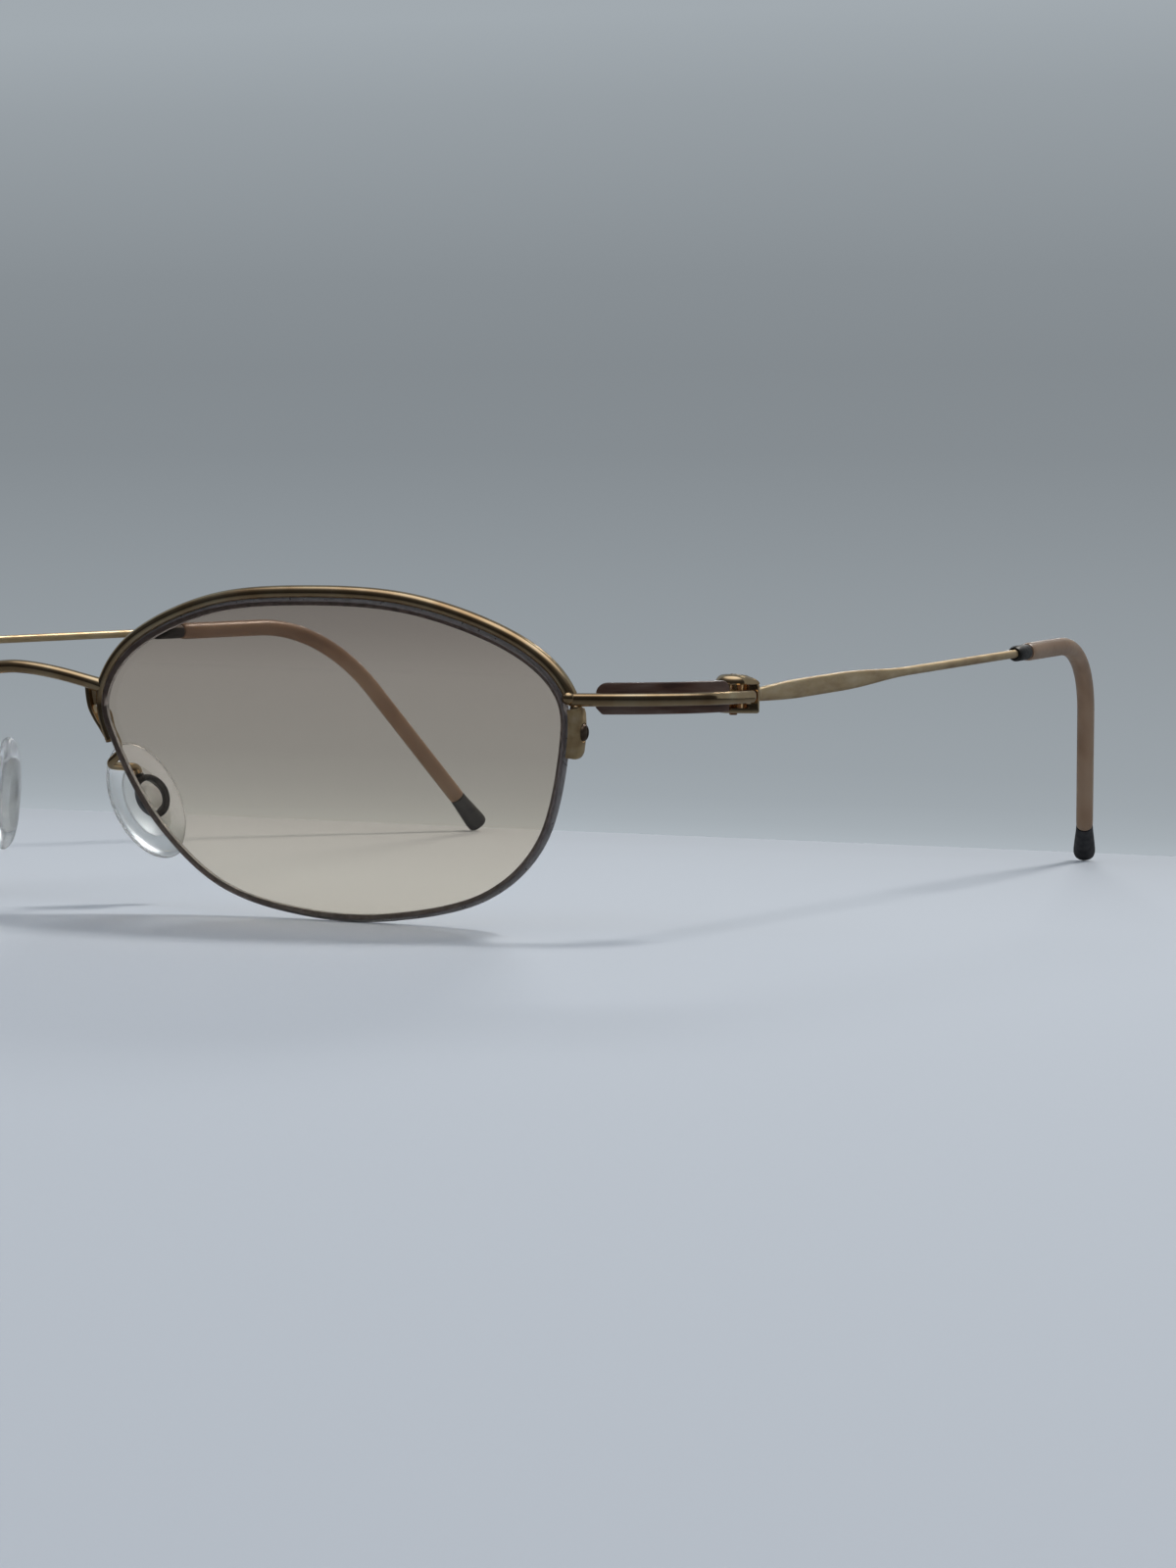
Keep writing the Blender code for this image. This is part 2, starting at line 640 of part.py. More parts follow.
def screw(name, tip, direction, shank, length, head, look):
    """A slotted dome-head screw: its tip, the direction to its head, and the sizes."""
    profile = [(0.0, shank / 2.0), (length, shank / 2.0)]
    profile += [(length + SCREW_HEAD_HEIGHT * rise, head / 2.0 * width) for rise, width in SCREW_DOME]
    body = turned(name, tip, direction, profile, look)
    first, second = across_axis(direction)
    floor = tip + direction * (length + SCREW_HEAD_HEIGHT * 0.5)
    rings = []
    for reach in (-head, head):
        centre = floor + first * reach + direction * SCREW_HEAD_HEIGHT
        size = (SCREW_SLOT_WIDTH, 2.0 * SCREW_HEAD_HEIGHT)
        rings.append(cut_corner_ring(centre, second, direction, *size, SCREW_SLOT_WIDTH * FLAT_CUT))
    slot = sweep(name + "_slot", rings, None)
    boolean(body, slot, "DIFFERENCE")


def make_block_screw():
    point, _, outward, _ = edge_frame(CLAMP_PLACE)
    length = GAP + BLOCK_WIDTH + FIT - CORD_CHANNEL
    tip = point + outward * CORD_CHANNEL
    screw("cord_block_screw", tip, outward, BLOCK_SCREW_SHANK, length, BLOCK_SCREW_HEAD, "gold_satin")


# Hinge

UPPER_LUG_LOW = WIRE_HALF + UPPER_LUG_GAP
LUG_TOP = UPPER_LUG_LOW + UPPER_LUG_HEIGHT
LOWER_LUG_TOP = WIRE_HALF + LOWER_LUG_GAP
LUG_BOTTOM = LOWER_LUG_TOP + LOWER_LUG_HEIGHT


def temple_axes():
    """Plan direction of the open temple, its direction along the wire, and the tip's bending direction."""
    plan = Vector((-math.sin(TEMPLE_SPLAY), math.cos(TEMPLE_SPLAY), 0.0))
    inward = UP.cross(plan)
    straight = plan * math.cos(TEMPLE_RISE) + UP * math.sin(TEMPLE_RISE)
    droop = plan * math.sin(TEMPLE_RISE) - UP * math.cos(TEMPLE_RISE)
    return plan, straight, droop * math.cos(TIP_LEAN) + inward * math.sin(TIP_LEAN)


TEMPLE_PLAN, TEMPLE_DIRECTION, TIP_DIRECTION = temple_axes()


def lug_ring(level, diameter, inset):
    """Plan of the hinge fork at a level: round about the pin, and drawn out to the temple's front end."""
    side = TEMPLE_PLAN.cross(UP)
    across = side * (COLUMN_WIDTH / 2.0 - COLUMN_CORNER)
    rear = TEMPLE_FRONT - TEMPLE_PLAN * COLUMN_CORNER
    front = TEMPLE_FRONT - TEMPLE_PLAN * (COLUMN_DEPTH - COLUMN_CORNER)
    corner = max(COLUMN_CORNER / 4.0, COLUMN_CORNER - inset)
    circles = [(PIN, diameter / 2.0 - inset)]
    circles += [(centre, corner) for centre in (rear - across, rear + across, front + across)]
    return hull_ring(circles, level)


def lug_space():
    """Plan of the space between the lugs: round behind the eye, and open in front of the column."""
    side = TEMPLE_PLAN.cross(UP)
    radius = EYE_DIAMETER / 2.0 + GAP
    ahead = (TEMPLE_FRONT - PIN).dot(TEMPLE_PLAN) - COLUMN_DEPTH
    first = math.asin(min(0.9, ahead / radius))
    turns = [first + (math.pi - 2.0 * first) * k / TURNED_SIDES for k in range(TURNED_SIDES + 1)]
    outline = [side * radius * math.cos(a) + TEMPLE_PLAN * radius * math.sin(a) for a in turns]
    reach = 2.0 * UPPER_LUG_DIAMETER
    for across, along in ((-reach, ahead), (-reach, -reach), (reach, -reach), (reach, ahead)):
        outline.append(side * across + TEMPLE_PLAN * along)
    return outline


def make_fork():
    """The forked hinge end of the temple: two lugs over and under the eye, joined by a wall behind it."""
    wall = EYE_DIAMETER + 2.0 * (GAP + WALL_THICKNESS)
    lower = [(-LUG_BOTTOM, LUG_ROUNDING), (LUG_ROUNDING - LUG_BOTTOM, 0.0), (-LOWER_LUG_TOP, 0.0)]
    upper = [(UPPER_LUG_LOW, 0.0), (LUG_TOP - LUG_ROUNDING, 0.0), (LUG_TOP, 2.0 * LUG_ROUNDING)]
    rings = [lug_ring(level, LOWER_LUG_DIAMETER, inset) for level, inset in lower]
    rings += [lug_ring(level, wall, 0.0) for level in (FIT - LOWER_LUG_TOP, UPPER_LUG_LOW - FIT)]
    rings += [lug_ring(level, UPPER_LUG_DIAMETER, inset) for level, inset in upper]
    fork = sweep("hinge_fork", rings, "gold")
    levels = (PIN - UP * LOWER_LUG_TOP, PIN + UP * UPPER_LUG_LOW)
    space = sweep("fork_space", [[level + point for point in lug_space()] for level in levels], None)
    boolean(fork, space, "DIFFERENCE")
    length = LUG_TOP * 3.0
    bore = bore_cutter("fork_bore", PIN - UP * length / 2.0, UP, length, PIN_DIAMETER + 2.0 * FIT)
    boolean(fork, bore, "DIFFERENCE")


def make_hinge_screw():
    tip = PIN - UP * (LUG_BOTTOM + FIT)
    length = LUG_TOP + LUG_BOTTOM + 2.0 * FIT
    screw("hinge_screw", tip, UP, PIN_DIAMETER, length, HINGE_SCREW_HEAD, "copper")


# Temple

def temple_place(distance):
    """Point and direction on the temple at a distance from its front end along the wire."""
    beyond = distance - TEMPLE_STRAIGHT
    if beyond <= 0.0:
        return TEMPLE_FRONT + TEMPLE_DIRECTION * distance, TEMPLE_DIRECTION
    turn = min(beyond / TIP_BEND_RADIUS, TIP_BEND)
    direction = TEMPLE_DIRECTION * math.cos(turn) + TIP_DIRECTION * math.sin(turn)
    place = TEMPLE_FRONT + TEMPLE_DIRECTION * (TEMPLE_STRAIGHT + TIP_BEND_RADIUS * math.sin(turn))
    place += TIP_DIRECTION * TIP_BEND_RADIUS * (1.0 - math.cos(turn))
    return place + direction * max(0.0, beyond - TIP_BEND_RADIUS * TIP_BEND), direction


def temple_length():
    """Distance along the temple at which the tip's cap, cut square, is down at the level of the cords."""
    cords = [edge_frame(k / 8.0)[0].z for k in range(8 * len(LENS_OUTLINE))]
    ground = min(cords) - CORD_DIAMETER / 2.0
    start = TEMPLE_STRAIGHT + TIP_BEND_RADIUS * TIP_BEND
    place, direction = temple_place(start)
    end_radius = CAP_DIAMETER / 2.0 * CAP_PROFILE[-1][1]
    lowest = place.z - end_radius * math.sqrt(1.0 - direction.z ** 2)
    return start + (ground - lowest) / direction.z


TEMPLE_LENGTH = temple_length()
CAP_START = TEMPLE_LENGTH - CAP_LENGTH
SLEEVE_START = COLLAR_START + COLLAR_LENGTH + FIT
NORMAL = TEMPLE_DIRECTION.cross(TIP_DIRECTION).normalized()


def temple_ring(distance, radius, sides=TUBE_SIDES):
    place, direction = temple_place(distance)
    return ellipse(place, NORMAL, NORMAL.cross(direction), radius, radius, sides)


def temple_stations(start, end):
    """Distances from start to end: few on the straight, close together round the bend."""
    bend_end = TEMPLE_STRAIGHT + TIP_BEND_RADIUS * TIP_BEND
    inner = [TEMPLE_STRAIGHT + (bend_end - TEMPLE_STRAIGHT) * k / 9.0 for k in range(10)]
    return [start] + [d for d in inner if start + 0.001 < d < end - 0.001] + [end]


def leaf_height(distance):
    """Height of the flattened part of the temple, swelling behind the hinge and thinning to the wire."""
    if distance < LEAF_WIDEST:
        share = distance / LEAF_WIDEST
        return LEAF_START_HEIGHT + (LEAF_HEIGHT - LEAF_START_HEIGHT) * math.sin(share * math.pi / 2.0)
    share = max(0.0, distance - LEAF_WIDEST - LEAF_FLAT) / (LEAF_END - LEAF_WIDEST - LEAF_FLAT)
    return WIRE_DIAMETER + (LEAF_HEIGHT - WIRE_DIAMETER) * (1.0 + math.cos(min(1.0, share) * math.pi)) / 2.0


def make_temple():
    """The temple wire: a flat leaf behind the hinge, then round wire running on through the tip."""
    side = TEMPLE_DIRECTION.cross(UP).normalized()
    first = GAP
    leaf = [first + (LEAF_END - first) * k / LEAF_STATIONS for k in range(LEAF_STATIONS)]
    rings = []
    for distance in leaf:
        place, direction = temple_place(distance)
        share = max(0.0, distance - LEAF_TAPER) / (LEAF_END - LEAF_TAPER)
        corner = WIRE_DIAMETER * (LEAF_CUT + (ROUND_CUT - LEAF_CUT) * share)
        size = LEAF_THICKNESS + (WIRE_DIAMETER - LEAF_THICKNESS) * share
        height = leaf_height(distance)
        rings.append(cut_corner_ring(place, side, side.cross(direction), size, height, corner))
    for distance in temple_stations(LEAF_END, TEMPLE_LENGTH):
        place, direction = temple_place(distance)
        across = NORMAL if distance > TEMPLE_STRAIGHT else side
        cut = WIRE_DIAMETER * ROUND_CUT
        size = (WIRE_DIAMETER, WIRE_DIAMETER)
        rings.append(cut_corner_ring(place, across, across.cross(direction), *size, cut))
    sweep("temple", rings, "gold_satin")


def bored_piece(name, stations, look):
    """A piece threaded on the wire: stations are (distance, outer radius)."""
    bore = WIRE_DIAMETER / 2.0 + FIT
    outer = [temple_ring(distance, radius) for distance, radius in stations]
    inner = [temple_ring(distance, bore) for distance, _ in stations]
    hollow_sweep(name, outer, inner, look)


def make_collar():
    radius = COLLAR_DIAMETER / 2.0
    end = COLLAR_START + COLLAR_LENGTH
    stations = [(COLLAR_START, COLLAR_DIAMETER * 0.43), (COLLAR_START + COLLAR_EDGE, radius), (end, radius)]
    bored_piece("temple_collar", stations, "dark_steel")


def make_sleeve():
    radius = SLEEVE_DIAMETER / 2.0
    stations = [(d, radius) for d in temple_stations(SLEEVE_START, CAP_START - FIT)]
    bored_piece("temple_sleeve", stations, "amber")


def make_tip_cap():
    stations = [(CAP_START + CAP_LENGTH * s, CAP_DIAMETER / 2.0 * width) for s, width in CAP_PROFILE]
    bored_piece("tip_cap", stations, "black_rubber")


# Nose pads

def pad_axes():
    """Long axis (downward), short axis and mount-side direction of the left pad."""
    long_axis = Vector((0.30, 0.36, -0.88)).normalized()
    facing = Vector((0.87, -0.49, 0.0))
    mount = (facing - long_axis * facing.dot(long_axis)).normalized()
    return long_axis, long_axis.cross(mount).normalized(), mount


PAD_LONG, PAD_SHORT, PAD_MOUNT = pad_axes()
PAD_MIDDLE = Vector((PAD_OUTSET, PAD_SETBACK, PAD_LEVEL))
PAD_FLAT = PAD_THICKNESS * PAD_PROFILE[-1][0]
PAD_BOX_LOW = PAD_FLAT + PAD_BOX_STANDOFF
PAD_STUD_BASE = PAD_MIDDLE - PAD_LONG * PAD_BOX_RAISE
PAD_PIVOT = PAD_STUD_BASE + PAD_MOUNT * (PAD_BOX_LOW + PAD_BOX_HEIGHT / 2.0)
BOX_HOLE = (PAD_STUD_WIDTH / 2.0 + PAD_STUD_GAP, PAD_STUD_LENGTH / 2.0 + PAD_STUD_GAP)


def pad_ring(level, half_short, half_long, middle=PAD_STUD_BASE):
    return ellipse(middle + PAD_MOUNT * level, PAD_SHORT, PAD_LONG, half_short, half_long, PAD_SIDES)


def make_nose_pad():
    """The clear pad: a domed oval with a stud on its mount side that snaps into the pad box."""
    rings = []
    for level, width in PAD_PROFILE:
        half_sizes = (PAD_WIDTH / 2.0 * width, PAD_LENGTH / 2.0 * width)
        rings.append(pad_ring(PAD_THICKNESS * level, *half_sizes, PAD_MIDDLE))
    stud_top = PAD_BOX_LOW + PAD_BOX_HEIGHT + GAP
    rings.append(pad_ring(PAD_FLAT, PAD_STUD_WIDTH / 2.0, PAD_STUD_LENGTH / 2.0))
    rings.append(pad_ring(stud_top, PAD_STUD_WIDTH / 2.0, PAD_STUD_LENGTH / 2.0))
    tip_sizes = (PAD_STUD_WIDTH / 2.0 - PAD_STUD_ROUNDING, PAD_STUD_LENGTH / 2.0 - PAD_STUD_ROUNDING)
    rings.append(pad_ring(stud_top + PAD_STUD_ROUNDING, *tip_sizes))
    sweep("nose_pad", rings, "clear_silicone")


def make_pad_box():
    """The dark oval ring that the pad's stud snaps into."""
    short, long = BOX_HOLE
    wall = PAD_BOX_WALL
    top = PAD_BOX_LOW + PAD_BOX_HEIGHT
    rings = [pad_ring(PAD_BOX_LOW, short, long), pad_ring(PAD_BOX_LOW, short + wall, long + wall)]
    rings += [pad_ring(top, short + wall, long + wall), pad_ring(top, short, long)]
    sweep("pad_box", rings, "dark_steel", loop=True)


def pad_arm_route():
    """Hand-set route of the pad arm from the rim's nose tab, looping back and down to the pad box."""
    point, _, outward, forward = edge_frame(edge_at_level(PAD_ARM_ROOT_LEVEL, *NOSE_SPAN))
    root = point + outward * (GAP + TAB_HEIGHT * 0.6) - forward * (RIM_DEPTH / 2.0 + GAP)
    box_top = PAD_PIVOT - PAD_LONG * (BOX_HOLE[1] + PAD_BOX_WALL + GAP)
    points = [root, root - forward * PAD_ARM_FIRST_STEP]
    points += [root + Vector(step) for step in PAD_ARM_FROM_TAB]
    points += [box_top + Vector(step) for step in PAD_ARM_FROM_BOX]
    return points + [box_top - PAD_LONG * PAD_ARM_LAST_STEP, box_top]


def smooth_route(points, steps):
    """Points on a smooth curve through a route, steps to each stretch."""
    padded = [points[0] * 2.0 - points[1]] + points + [points[-1] * 2.0 - points[-2]]
    route = []
    for before, start, end, after in zip(padded, padded[1:], padded[2:], padded[3:]):
        for k in range(steps):
            part = k / steps
            linear = (end - before) * part
            square = (before * 2.0 - start * 5.0 + end * 4.0 - after) * part ** 2
            cube = (start * 3.0 - before - end * 3.0 + after) * part ** 3
            route.append(start + (linear + square + cube) / 2.0)
    return route + [points[-1]]


def make_pad_arm():
    curve_tube("pad_arm", smooth_route(pad_arm_route(), 4), PAD_ARM_DIAMETER, "gold")


# Assembly

TEMPLE_PIECES = ("hinge_fork", "hinge_screw", "temple", "temple_collar", "temple_sleeve", "tip_cap")
PAD_PIECES = ("nose_pad",)


def evaluated_mesh(item):
    graph = bpy.context.evaluated_depsgraph_get()
    return bpy.data.meshes.new_from_object(item.evaluated_get(graph))


def mirror_image(item, name):
    """A second object that is the mirror image of one across x = 0."""
    mesh = evaluated_mesh(item)
    mesh.transform(Matrix.Scale(-1.0, 4, OUTBOARD))
    mesh.flip_normals()
    mesh.name = name
    twin = bpy.data.objects.new(name, mesh)
    bpy.context.collection.objects.link(twin)
    return twin


def empty_at(name, place, parent=None):
    marker = bpy.data.objects.new(name, None)
    marker.empty_display_size = 0.003
    bpy.context.collection.objects.link(marker)
    marker.parent = parent
    marker.location = place
    return marker


def attach(item, marker, place):
    """Hang an object on the marker at a place, without moving it."""
    item.parent = marker
    item.matrix_parent_inverse = Matrix.Translation(-place)


def add_right_side(bridge):
    """Name the left pieces and make the right ones from them."""
    pieces = [item for item in bpy.data.objects if not item.hide_render and item is not bridge]
    for item in pieces:
        stem = item.name
        mirror_image(item, stem + "_right")
        item.name = stem + "_left"


def footprint(items):
    """Middle of the depth and the lowest level of some objects' vertices."""
    points = []
    for item in items:
        mesh = evaluated_mesh(item)
        points += [vertex.co.copy() for vertex in mesh.vertices]
        bpy.data.meshes.remove(mesh)
    middle = (min(p.y for p in points) + max(p.y for p in points)) / 2.0
    return middle, min(p.z for p in points)


def set_joints():
    """Hang the moving pieces on empties at their joints, and stand the whole on z = 0."""
    solids = [item for item in bpy.data.objects if not item.hide_render]
    middle, ground = footprint(solids)
    frame = empty_at("glasses", Vector((0.0, -middle, -ground)))
    markers = {}
    for side, sign in (("left", 1.0), ("right", -1.0)):
        for joint, place in (("temple_joint", PIN), ("pad_joint", PAD_PIVOT)):
            spot = Vector((place.x * sign, place.y, place.z))
            markers[joint, side] = (empty_at(joint + "_" + side, spot, frame), spot)
    for item in solids:
        stem, _, side = item.name.rpartition("_")
        if stem in TEMPLE_PIECES:
            attach(item, *markers["temple_joint", side])
        elif stem in PAD_PIECES:
            attach(item, *markers["pad_joint", side])
        else:
            item.parent = frame


def main():
    clear_scene()
    make_lens()
    make_rim()
    make_liner()
    make_cord()
    make_endpiece()
    make_endpiece_strip()
    make_cord_block()
    make_block_screw()
    make_fork()
    make_hinge_screw()
    make_temple()
    make_collar()
    make_sleeve()
    make_tip_cap()
    make_nose_pad()
    make_pad_box()
    make_pad_arm()
    bridge = make_bridge()
    bpy.context.view_layer.update()
    add_right_side(bridge)
    set_joints()
    bpy.context.view_layer.update()


main()
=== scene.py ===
# %% [markdown]
# # Half-rim sunglasses: gold wire, tinted lenses and clear nose pads
# A thin gold wire runs over the top of each lens only. Below, a nylon cord in a groove round the edge holds
# the lens, so it looks as if it had no frame there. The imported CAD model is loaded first. It fixes every
# size and every joint, and the cells below lay finer pieces over it in the same place.

# %% Load the frame
import math

import bmesh
import bpy
from mathutils import Matrix, Vector


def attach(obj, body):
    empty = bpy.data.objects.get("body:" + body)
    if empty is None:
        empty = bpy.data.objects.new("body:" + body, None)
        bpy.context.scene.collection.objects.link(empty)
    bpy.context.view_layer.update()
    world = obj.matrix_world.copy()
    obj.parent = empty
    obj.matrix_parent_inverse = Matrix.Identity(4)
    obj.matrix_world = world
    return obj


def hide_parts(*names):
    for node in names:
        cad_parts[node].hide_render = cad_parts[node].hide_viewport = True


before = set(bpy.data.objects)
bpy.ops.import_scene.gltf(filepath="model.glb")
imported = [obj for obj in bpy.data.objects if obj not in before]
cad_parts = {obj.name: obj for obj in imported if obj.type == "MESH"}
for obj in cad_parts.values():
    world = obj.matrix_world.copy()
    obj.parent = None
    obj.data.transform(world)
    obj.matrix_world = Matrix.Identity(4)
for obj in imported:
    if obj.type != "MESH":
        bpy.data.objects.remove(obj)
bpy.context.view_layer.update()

# %% [markdown]
# ## Camera
# The photograph was taken from only three centimetres over the table, from the right of the front, with a
# long lens. The camera's place, heading, dip and slight roll were found by fitting known points of the
# glasses to their places in the picture.

# %% Camera
CAMERA_PLACE = Vector((0.2766, -0.424071, 0.03035))
CAMERA_HEADING = math.radians(31.36)
CAMERA_DIP = math.radians(2.39)
CAMERA_ROLL = math.radians(0.97)
CAMERA_LENS = 112.5
CAMERA_SENSOR = 36.0
CAMERA_CLIP = (0.02, 20.0)


def add(name, data):
    """A new object in the scene."""
    item = bpy.data.objects.new(name, data)
    bpy.context.scene.collection.objects.link(item)
    return item


def camera_axes():
    """Right, up and forward directions of the camera."""
    level = Vector((math.cos(CAMERA_HEADING), math.sin(CAMERA_HEADING), 0.0))
    plan = Vector((-math.sin(CAMERA_HEADING), math.cos(CAMERA_HEADING), 0.0))
    ahead = plan * math.cos(CAMERA_DIP) - Vector((0.0, 0.0, math.sin(CAMERA_DIP)))
    rise = level.cross(ahead)
    across = level * math.cos(CAMERA_ROLL) + rise * math.sin(CAMERA_ROLL)
    upward = rise * math.cos(CAMERA_ROLL) - level * math.sin(CAMERA_ROLL)
    return across, upward, ahead


def place_camera():
    across, upward, ahead = camera_axes()
    data = bpy.data.cameras.new("photo_camera")
    data.lens = CAMERA_LENS
    data.sensor_width = CAMERA_SENSOR
    data.clip_start, data.clip_end = CAMERA_CLIP
    camera = add("photo_camera", data)
    turn = Matrix((across, upward, -ahead)).transposed().to_4x4()
    camera.matrix_world = Matrix.Translation(CAMERA_PLACE) @ turn
    bpy.context.scene.camera = camera


place_camera()
print("camera looks along", [round(c, 3) for c in camera_axes()[2]])

# %% [markdown]
# ## Node helpers
# A finish or a stage is a small graph of nodes. These helpers add a node, set its sockets and join it up, so
# that each recipe below reads as a list of what is laid over what. Every pattern reads Object coordinates,
# which are metres here because each piece sits at the origin.

# %% Node helpers
def node(tree, kind, settings=None, first=(), **values):
    """A node with its settings: values or links fill its first sockets in order, and others by name."""
    made = tree.nodes.new(kind)
    for key, value in (settings or {}).items():
        setattr(made, key, value)
    named = [(made.inputs[key.replace("_", " ")], value) for key, value in values.items()]
    for socket, value in list(zip(made.inputs, first)) + named:
        if isinstance(value, bpy.types.NodeSocket):
            tree.links.new(value, socket)
        else:
            socket.default_value = value
    return made


def blank(name, **sockets):
    """A new material with its tree and its shader, and fixed numbers on the shader's own sockets."""
    material = bpy.data.materials.new(name)
    material.use_nodes = True
    shader = material.node_tree.nodes["Principled BSDF"]
    for key, value in sockets.items():
        shader.inputs[key.replace("_", " ")].default_value = value
    return material, material.node_tree, shader


def colour_ramp(tree, factor, stops):
    """A colour ramp over (position, colour) stops, fed by a socket."""
    ramp = node(tree, "ShaderNodeValToRGB", Fac=factor)
    bands = ramp.color_ramp.elements
    while len(bands) < len(stops):
        bands.new(1.0)
    for band, (position, colour) in zip(bands, stops):
        band.position = position
        band.color = (*colour, 1.0)
    return ramp.outputs["Color"]


def spread(tree, value, low, high, to_low=0.0, to_high=1.0):
    """A socket that maps a value from one range to another."""
    ends = {"From Min": low, "From Max": high, "To Min": to_low, "To Max": to_high}
    made = node(tree, "ShaderNodeMapRange", Value=value)
    for name, end in ends.items():
        made.inputs[name].default_value = end
    return made.outputs["Result"]


def noise(tree, place, scale, detail=3.0, stretch=None):
    """A noise pattern of so many grains to the metre, stretched along an axis where asked."""
    if stretch:
        place = node(tree, "ShaderNodeMapping", Vector=place, Scale=stretch).outputs["Vector"]
    return node(tree, "ShaderNodeTexNoise", Vector=place, Scale=scale, Detail=detail).outputs["Fac"]


def object_place(tree):
    return node(tree, "ShaderNodeTexCoord").outputs["Object"]


def height_share(tree, low, high, top=1.0):
    """A socket that rises from 0 to a top value between two heights."""
    height = node(tree, "ShaderNodeSeparateXYZ", Vector=object_place(tree)).outputs["Z"]
    return spread(tree, height, low, high, 0.0, top)


print("node helpers ready")

# %% [markdown]
# ## Table and backdrop
# The glasses stand on pale paper, in front of a grey-blue sheet. A broad flat floor and one upright sheet are
# enough. The sheet shows only its front, so that it doesn't hide the glasses from behind, and it glows by
# itself
# at the tone that it has in the picture: its glow is painted light and shade, darker at eye level than at its
# foot and its top. The paper is darkened with painted shade where it nears the sheet. What polished gold
# mirrors of them is kept dimmer than what the eye sees.

# %% Table and backdrop
FLOOR_RADIUS = 2.4
FLOOR_SIDES = 96
FLOOR_GRAIN = 1500.0
FLOOR_COLOUR = (0.60, 0.635, 0.685)
FLOOR_FADE = 0.12
# Painted shade: the paper's colour darkens over the last stretch before the sheet's foot.
FLOOR_PAINTED_SHADE = [(0.0, 1.0), (0.29, 0.965), (0.54, 0.93), (0.775, 0.885), (1.0, 0.79)]
FLOOR_MIRRORED = [(0.0, 0.17), (0.45, 0.07), (1.0, 0.02)]
FLOOR_MIRRORED_TINT = (1.0, 1.03, 1.08)
FLOOR_TOOTH = {"Strength": 0.05, "Distance": 0.0001}
MIRROR_REACH = (0.06, 0.30)
SHEET_FOOT = (Vector((-0.1046, 0.0721, 0.0)), Vector((0.0392, 0.0861, 0.0)))
SHEET_HALF_LENGTH = 1.3
SHEET_HEIGHT = 0.9
# Painted light and shade: the sheet's own glow by height, darker at eye level than at its foot and its top.
SHEET_PAINTED_LIGHT = [
    (0.000, 0.46), (0.019, 0.42), (0.047, 0.385), (0.084, 0.362), (0.294, 0.31), (0.457, 0.262),
    (0.560, 0.255), (0.667, 0.272), (0.877, 0.345), (0.980, 0.400),
]
SHEET_TINT = (0.90, 1.00, 1.08)
SHEET_MIRRORED = 0.55
SHEET_DIMMING = 0.35
BAND_HEIGHT = 0.1


def tones(bands, tint):
    """Ramp stops of one tint at several strengths."""
    return [(position, tuple(tone * c for c in tint)) for position, tone in bands]


def circle_turns(count):
    return [2.0 * math.pi * k / count for k in range(count)]


def flat_mesh(name, points, material):
    mesh = bpy.data.meshes.new(name)
    mesh.from_pydata(points, [], [list(range(len(points)))])
    mesh.materials.append(material)
    item = add(name, mesh)
    return item


def sheet_axes():
    """Middle of the sheet's foot, its direction, and the way from the glasses to it."""
    start, end = SHEET_FOOT
    along = (end - start).normalized()
    return (start + end) / 2.0, along, Vector((0.0, 0.0, 1.0)).cross(along)


def mirrored_instead(tree, seen, mirrored, output):
    """One shader for the eye, also through a lens, and another for what polished things mirror."""
    path = node(tree, "ShaderNodeLightPath").outputs
    mirror = node(tree, "ShaderNodeMath", {"operation": "SUBTRACT", "use_clamp": True},
                  (path["Is Glossy Ray"], path["Is Transmission Ray"]))
    mix = node(tree, "ShaderNodeMixShader", None, (mirror.outputs[0], seen, mirrored))
    tree.links.new(mix.outputs[0], output.inputs["Surface"])


def floor_paper():
    """Pale paper with a faint tooth, with painted shade where it nears the sheet, and dim in what gold mirrors.
    """
    material, tree, shader = blank("floor_paper", Roughness=0.9, Specular_IOR_Level=0.2)
    place = object_place(tree)
    foot, _, away = sheet_axes()
    reach = node(tree, "ShaderNodeVectorMath", {"operation": "DOT_PRODUCT"}, (place, away))
    line = foot.dot(away)
    # painted shade: the paper's colour is ramped darker towards the sheet
    fade = spread(tree, reach.outputs["Value"], line - FLOOR_FADE, line)
    tree.links.new(colour_ramp(tree, fade, tones(FLOOR_PAINTED_SHADE, FLOOR_COLOUR)), shader.inputs["Base Color"])
    bump = node(tree, "ShaderNodeBump", Height=noise(tree, place, FLOOR_GRAIN), **FLOOR_TOOTH)
    tree.links.new(bump.outputs["Normal"], shader.inputs["Normal"])
    distance = node(tree, "ShaderNodeVectorMath", {"operation": "LENGTH"}, (place,))
    far = spread(tree, distance.outputs["Value"], *MIRROR_REACH)
    mirrored = colour_ramp(tree, far, tones(FLOOR_MIRRORED, FLOOR_MIRRORED_TINT))
    dim = node(tree, "ShaderNodeBsdfDiffuse", Color=mirrored)
    mirrored_instead(tree, shader.outputs[0], dim.outputs[0], tree.nodes["Material Output"])
    return material


def sheet_paper():
    """A grey-blue sheet that glows with painted light and shade by height, seen only from the front, and dim in
    what gold mirrors.
    """
    material, tree, _ = blank("sheet_paper")
    tree.nodes.clear()
    # painted light and shade: the glow's tones by height stand in for the light on the sheet
    bands = colour_ramp(tree, height_share(tree, 0.0, BAND_HEIGHT), tones(SHEET_PAINTED_LIGHT, SHEET_TINT))
    glow = node(tree, "ShaderNodeEmission", Color=bands)
    dim = node(tree, "ShaderNodeEmission", Color=(*[SHEET_MIRRORED * c for c in SHEET_TINT], 1.0),
               Strength=SHEET_DIMMING)
    clear = node(tree, "ShaderNodeBsdfTransparent").outputs[0]
    back = node(tree, "ShaderNodeNewGeometry").outputs["Backfacing"]
    seen, mirrored = [node(tree, "ShaderNodeMixShader", None, (back, front.outputs[0], clear)).outputs[0]
                      for front in (glow, dim)]
    mirrored_instead(tree, seen, mirrored, node(tree, "ShaderNodeOutputMaterial"))
    return material


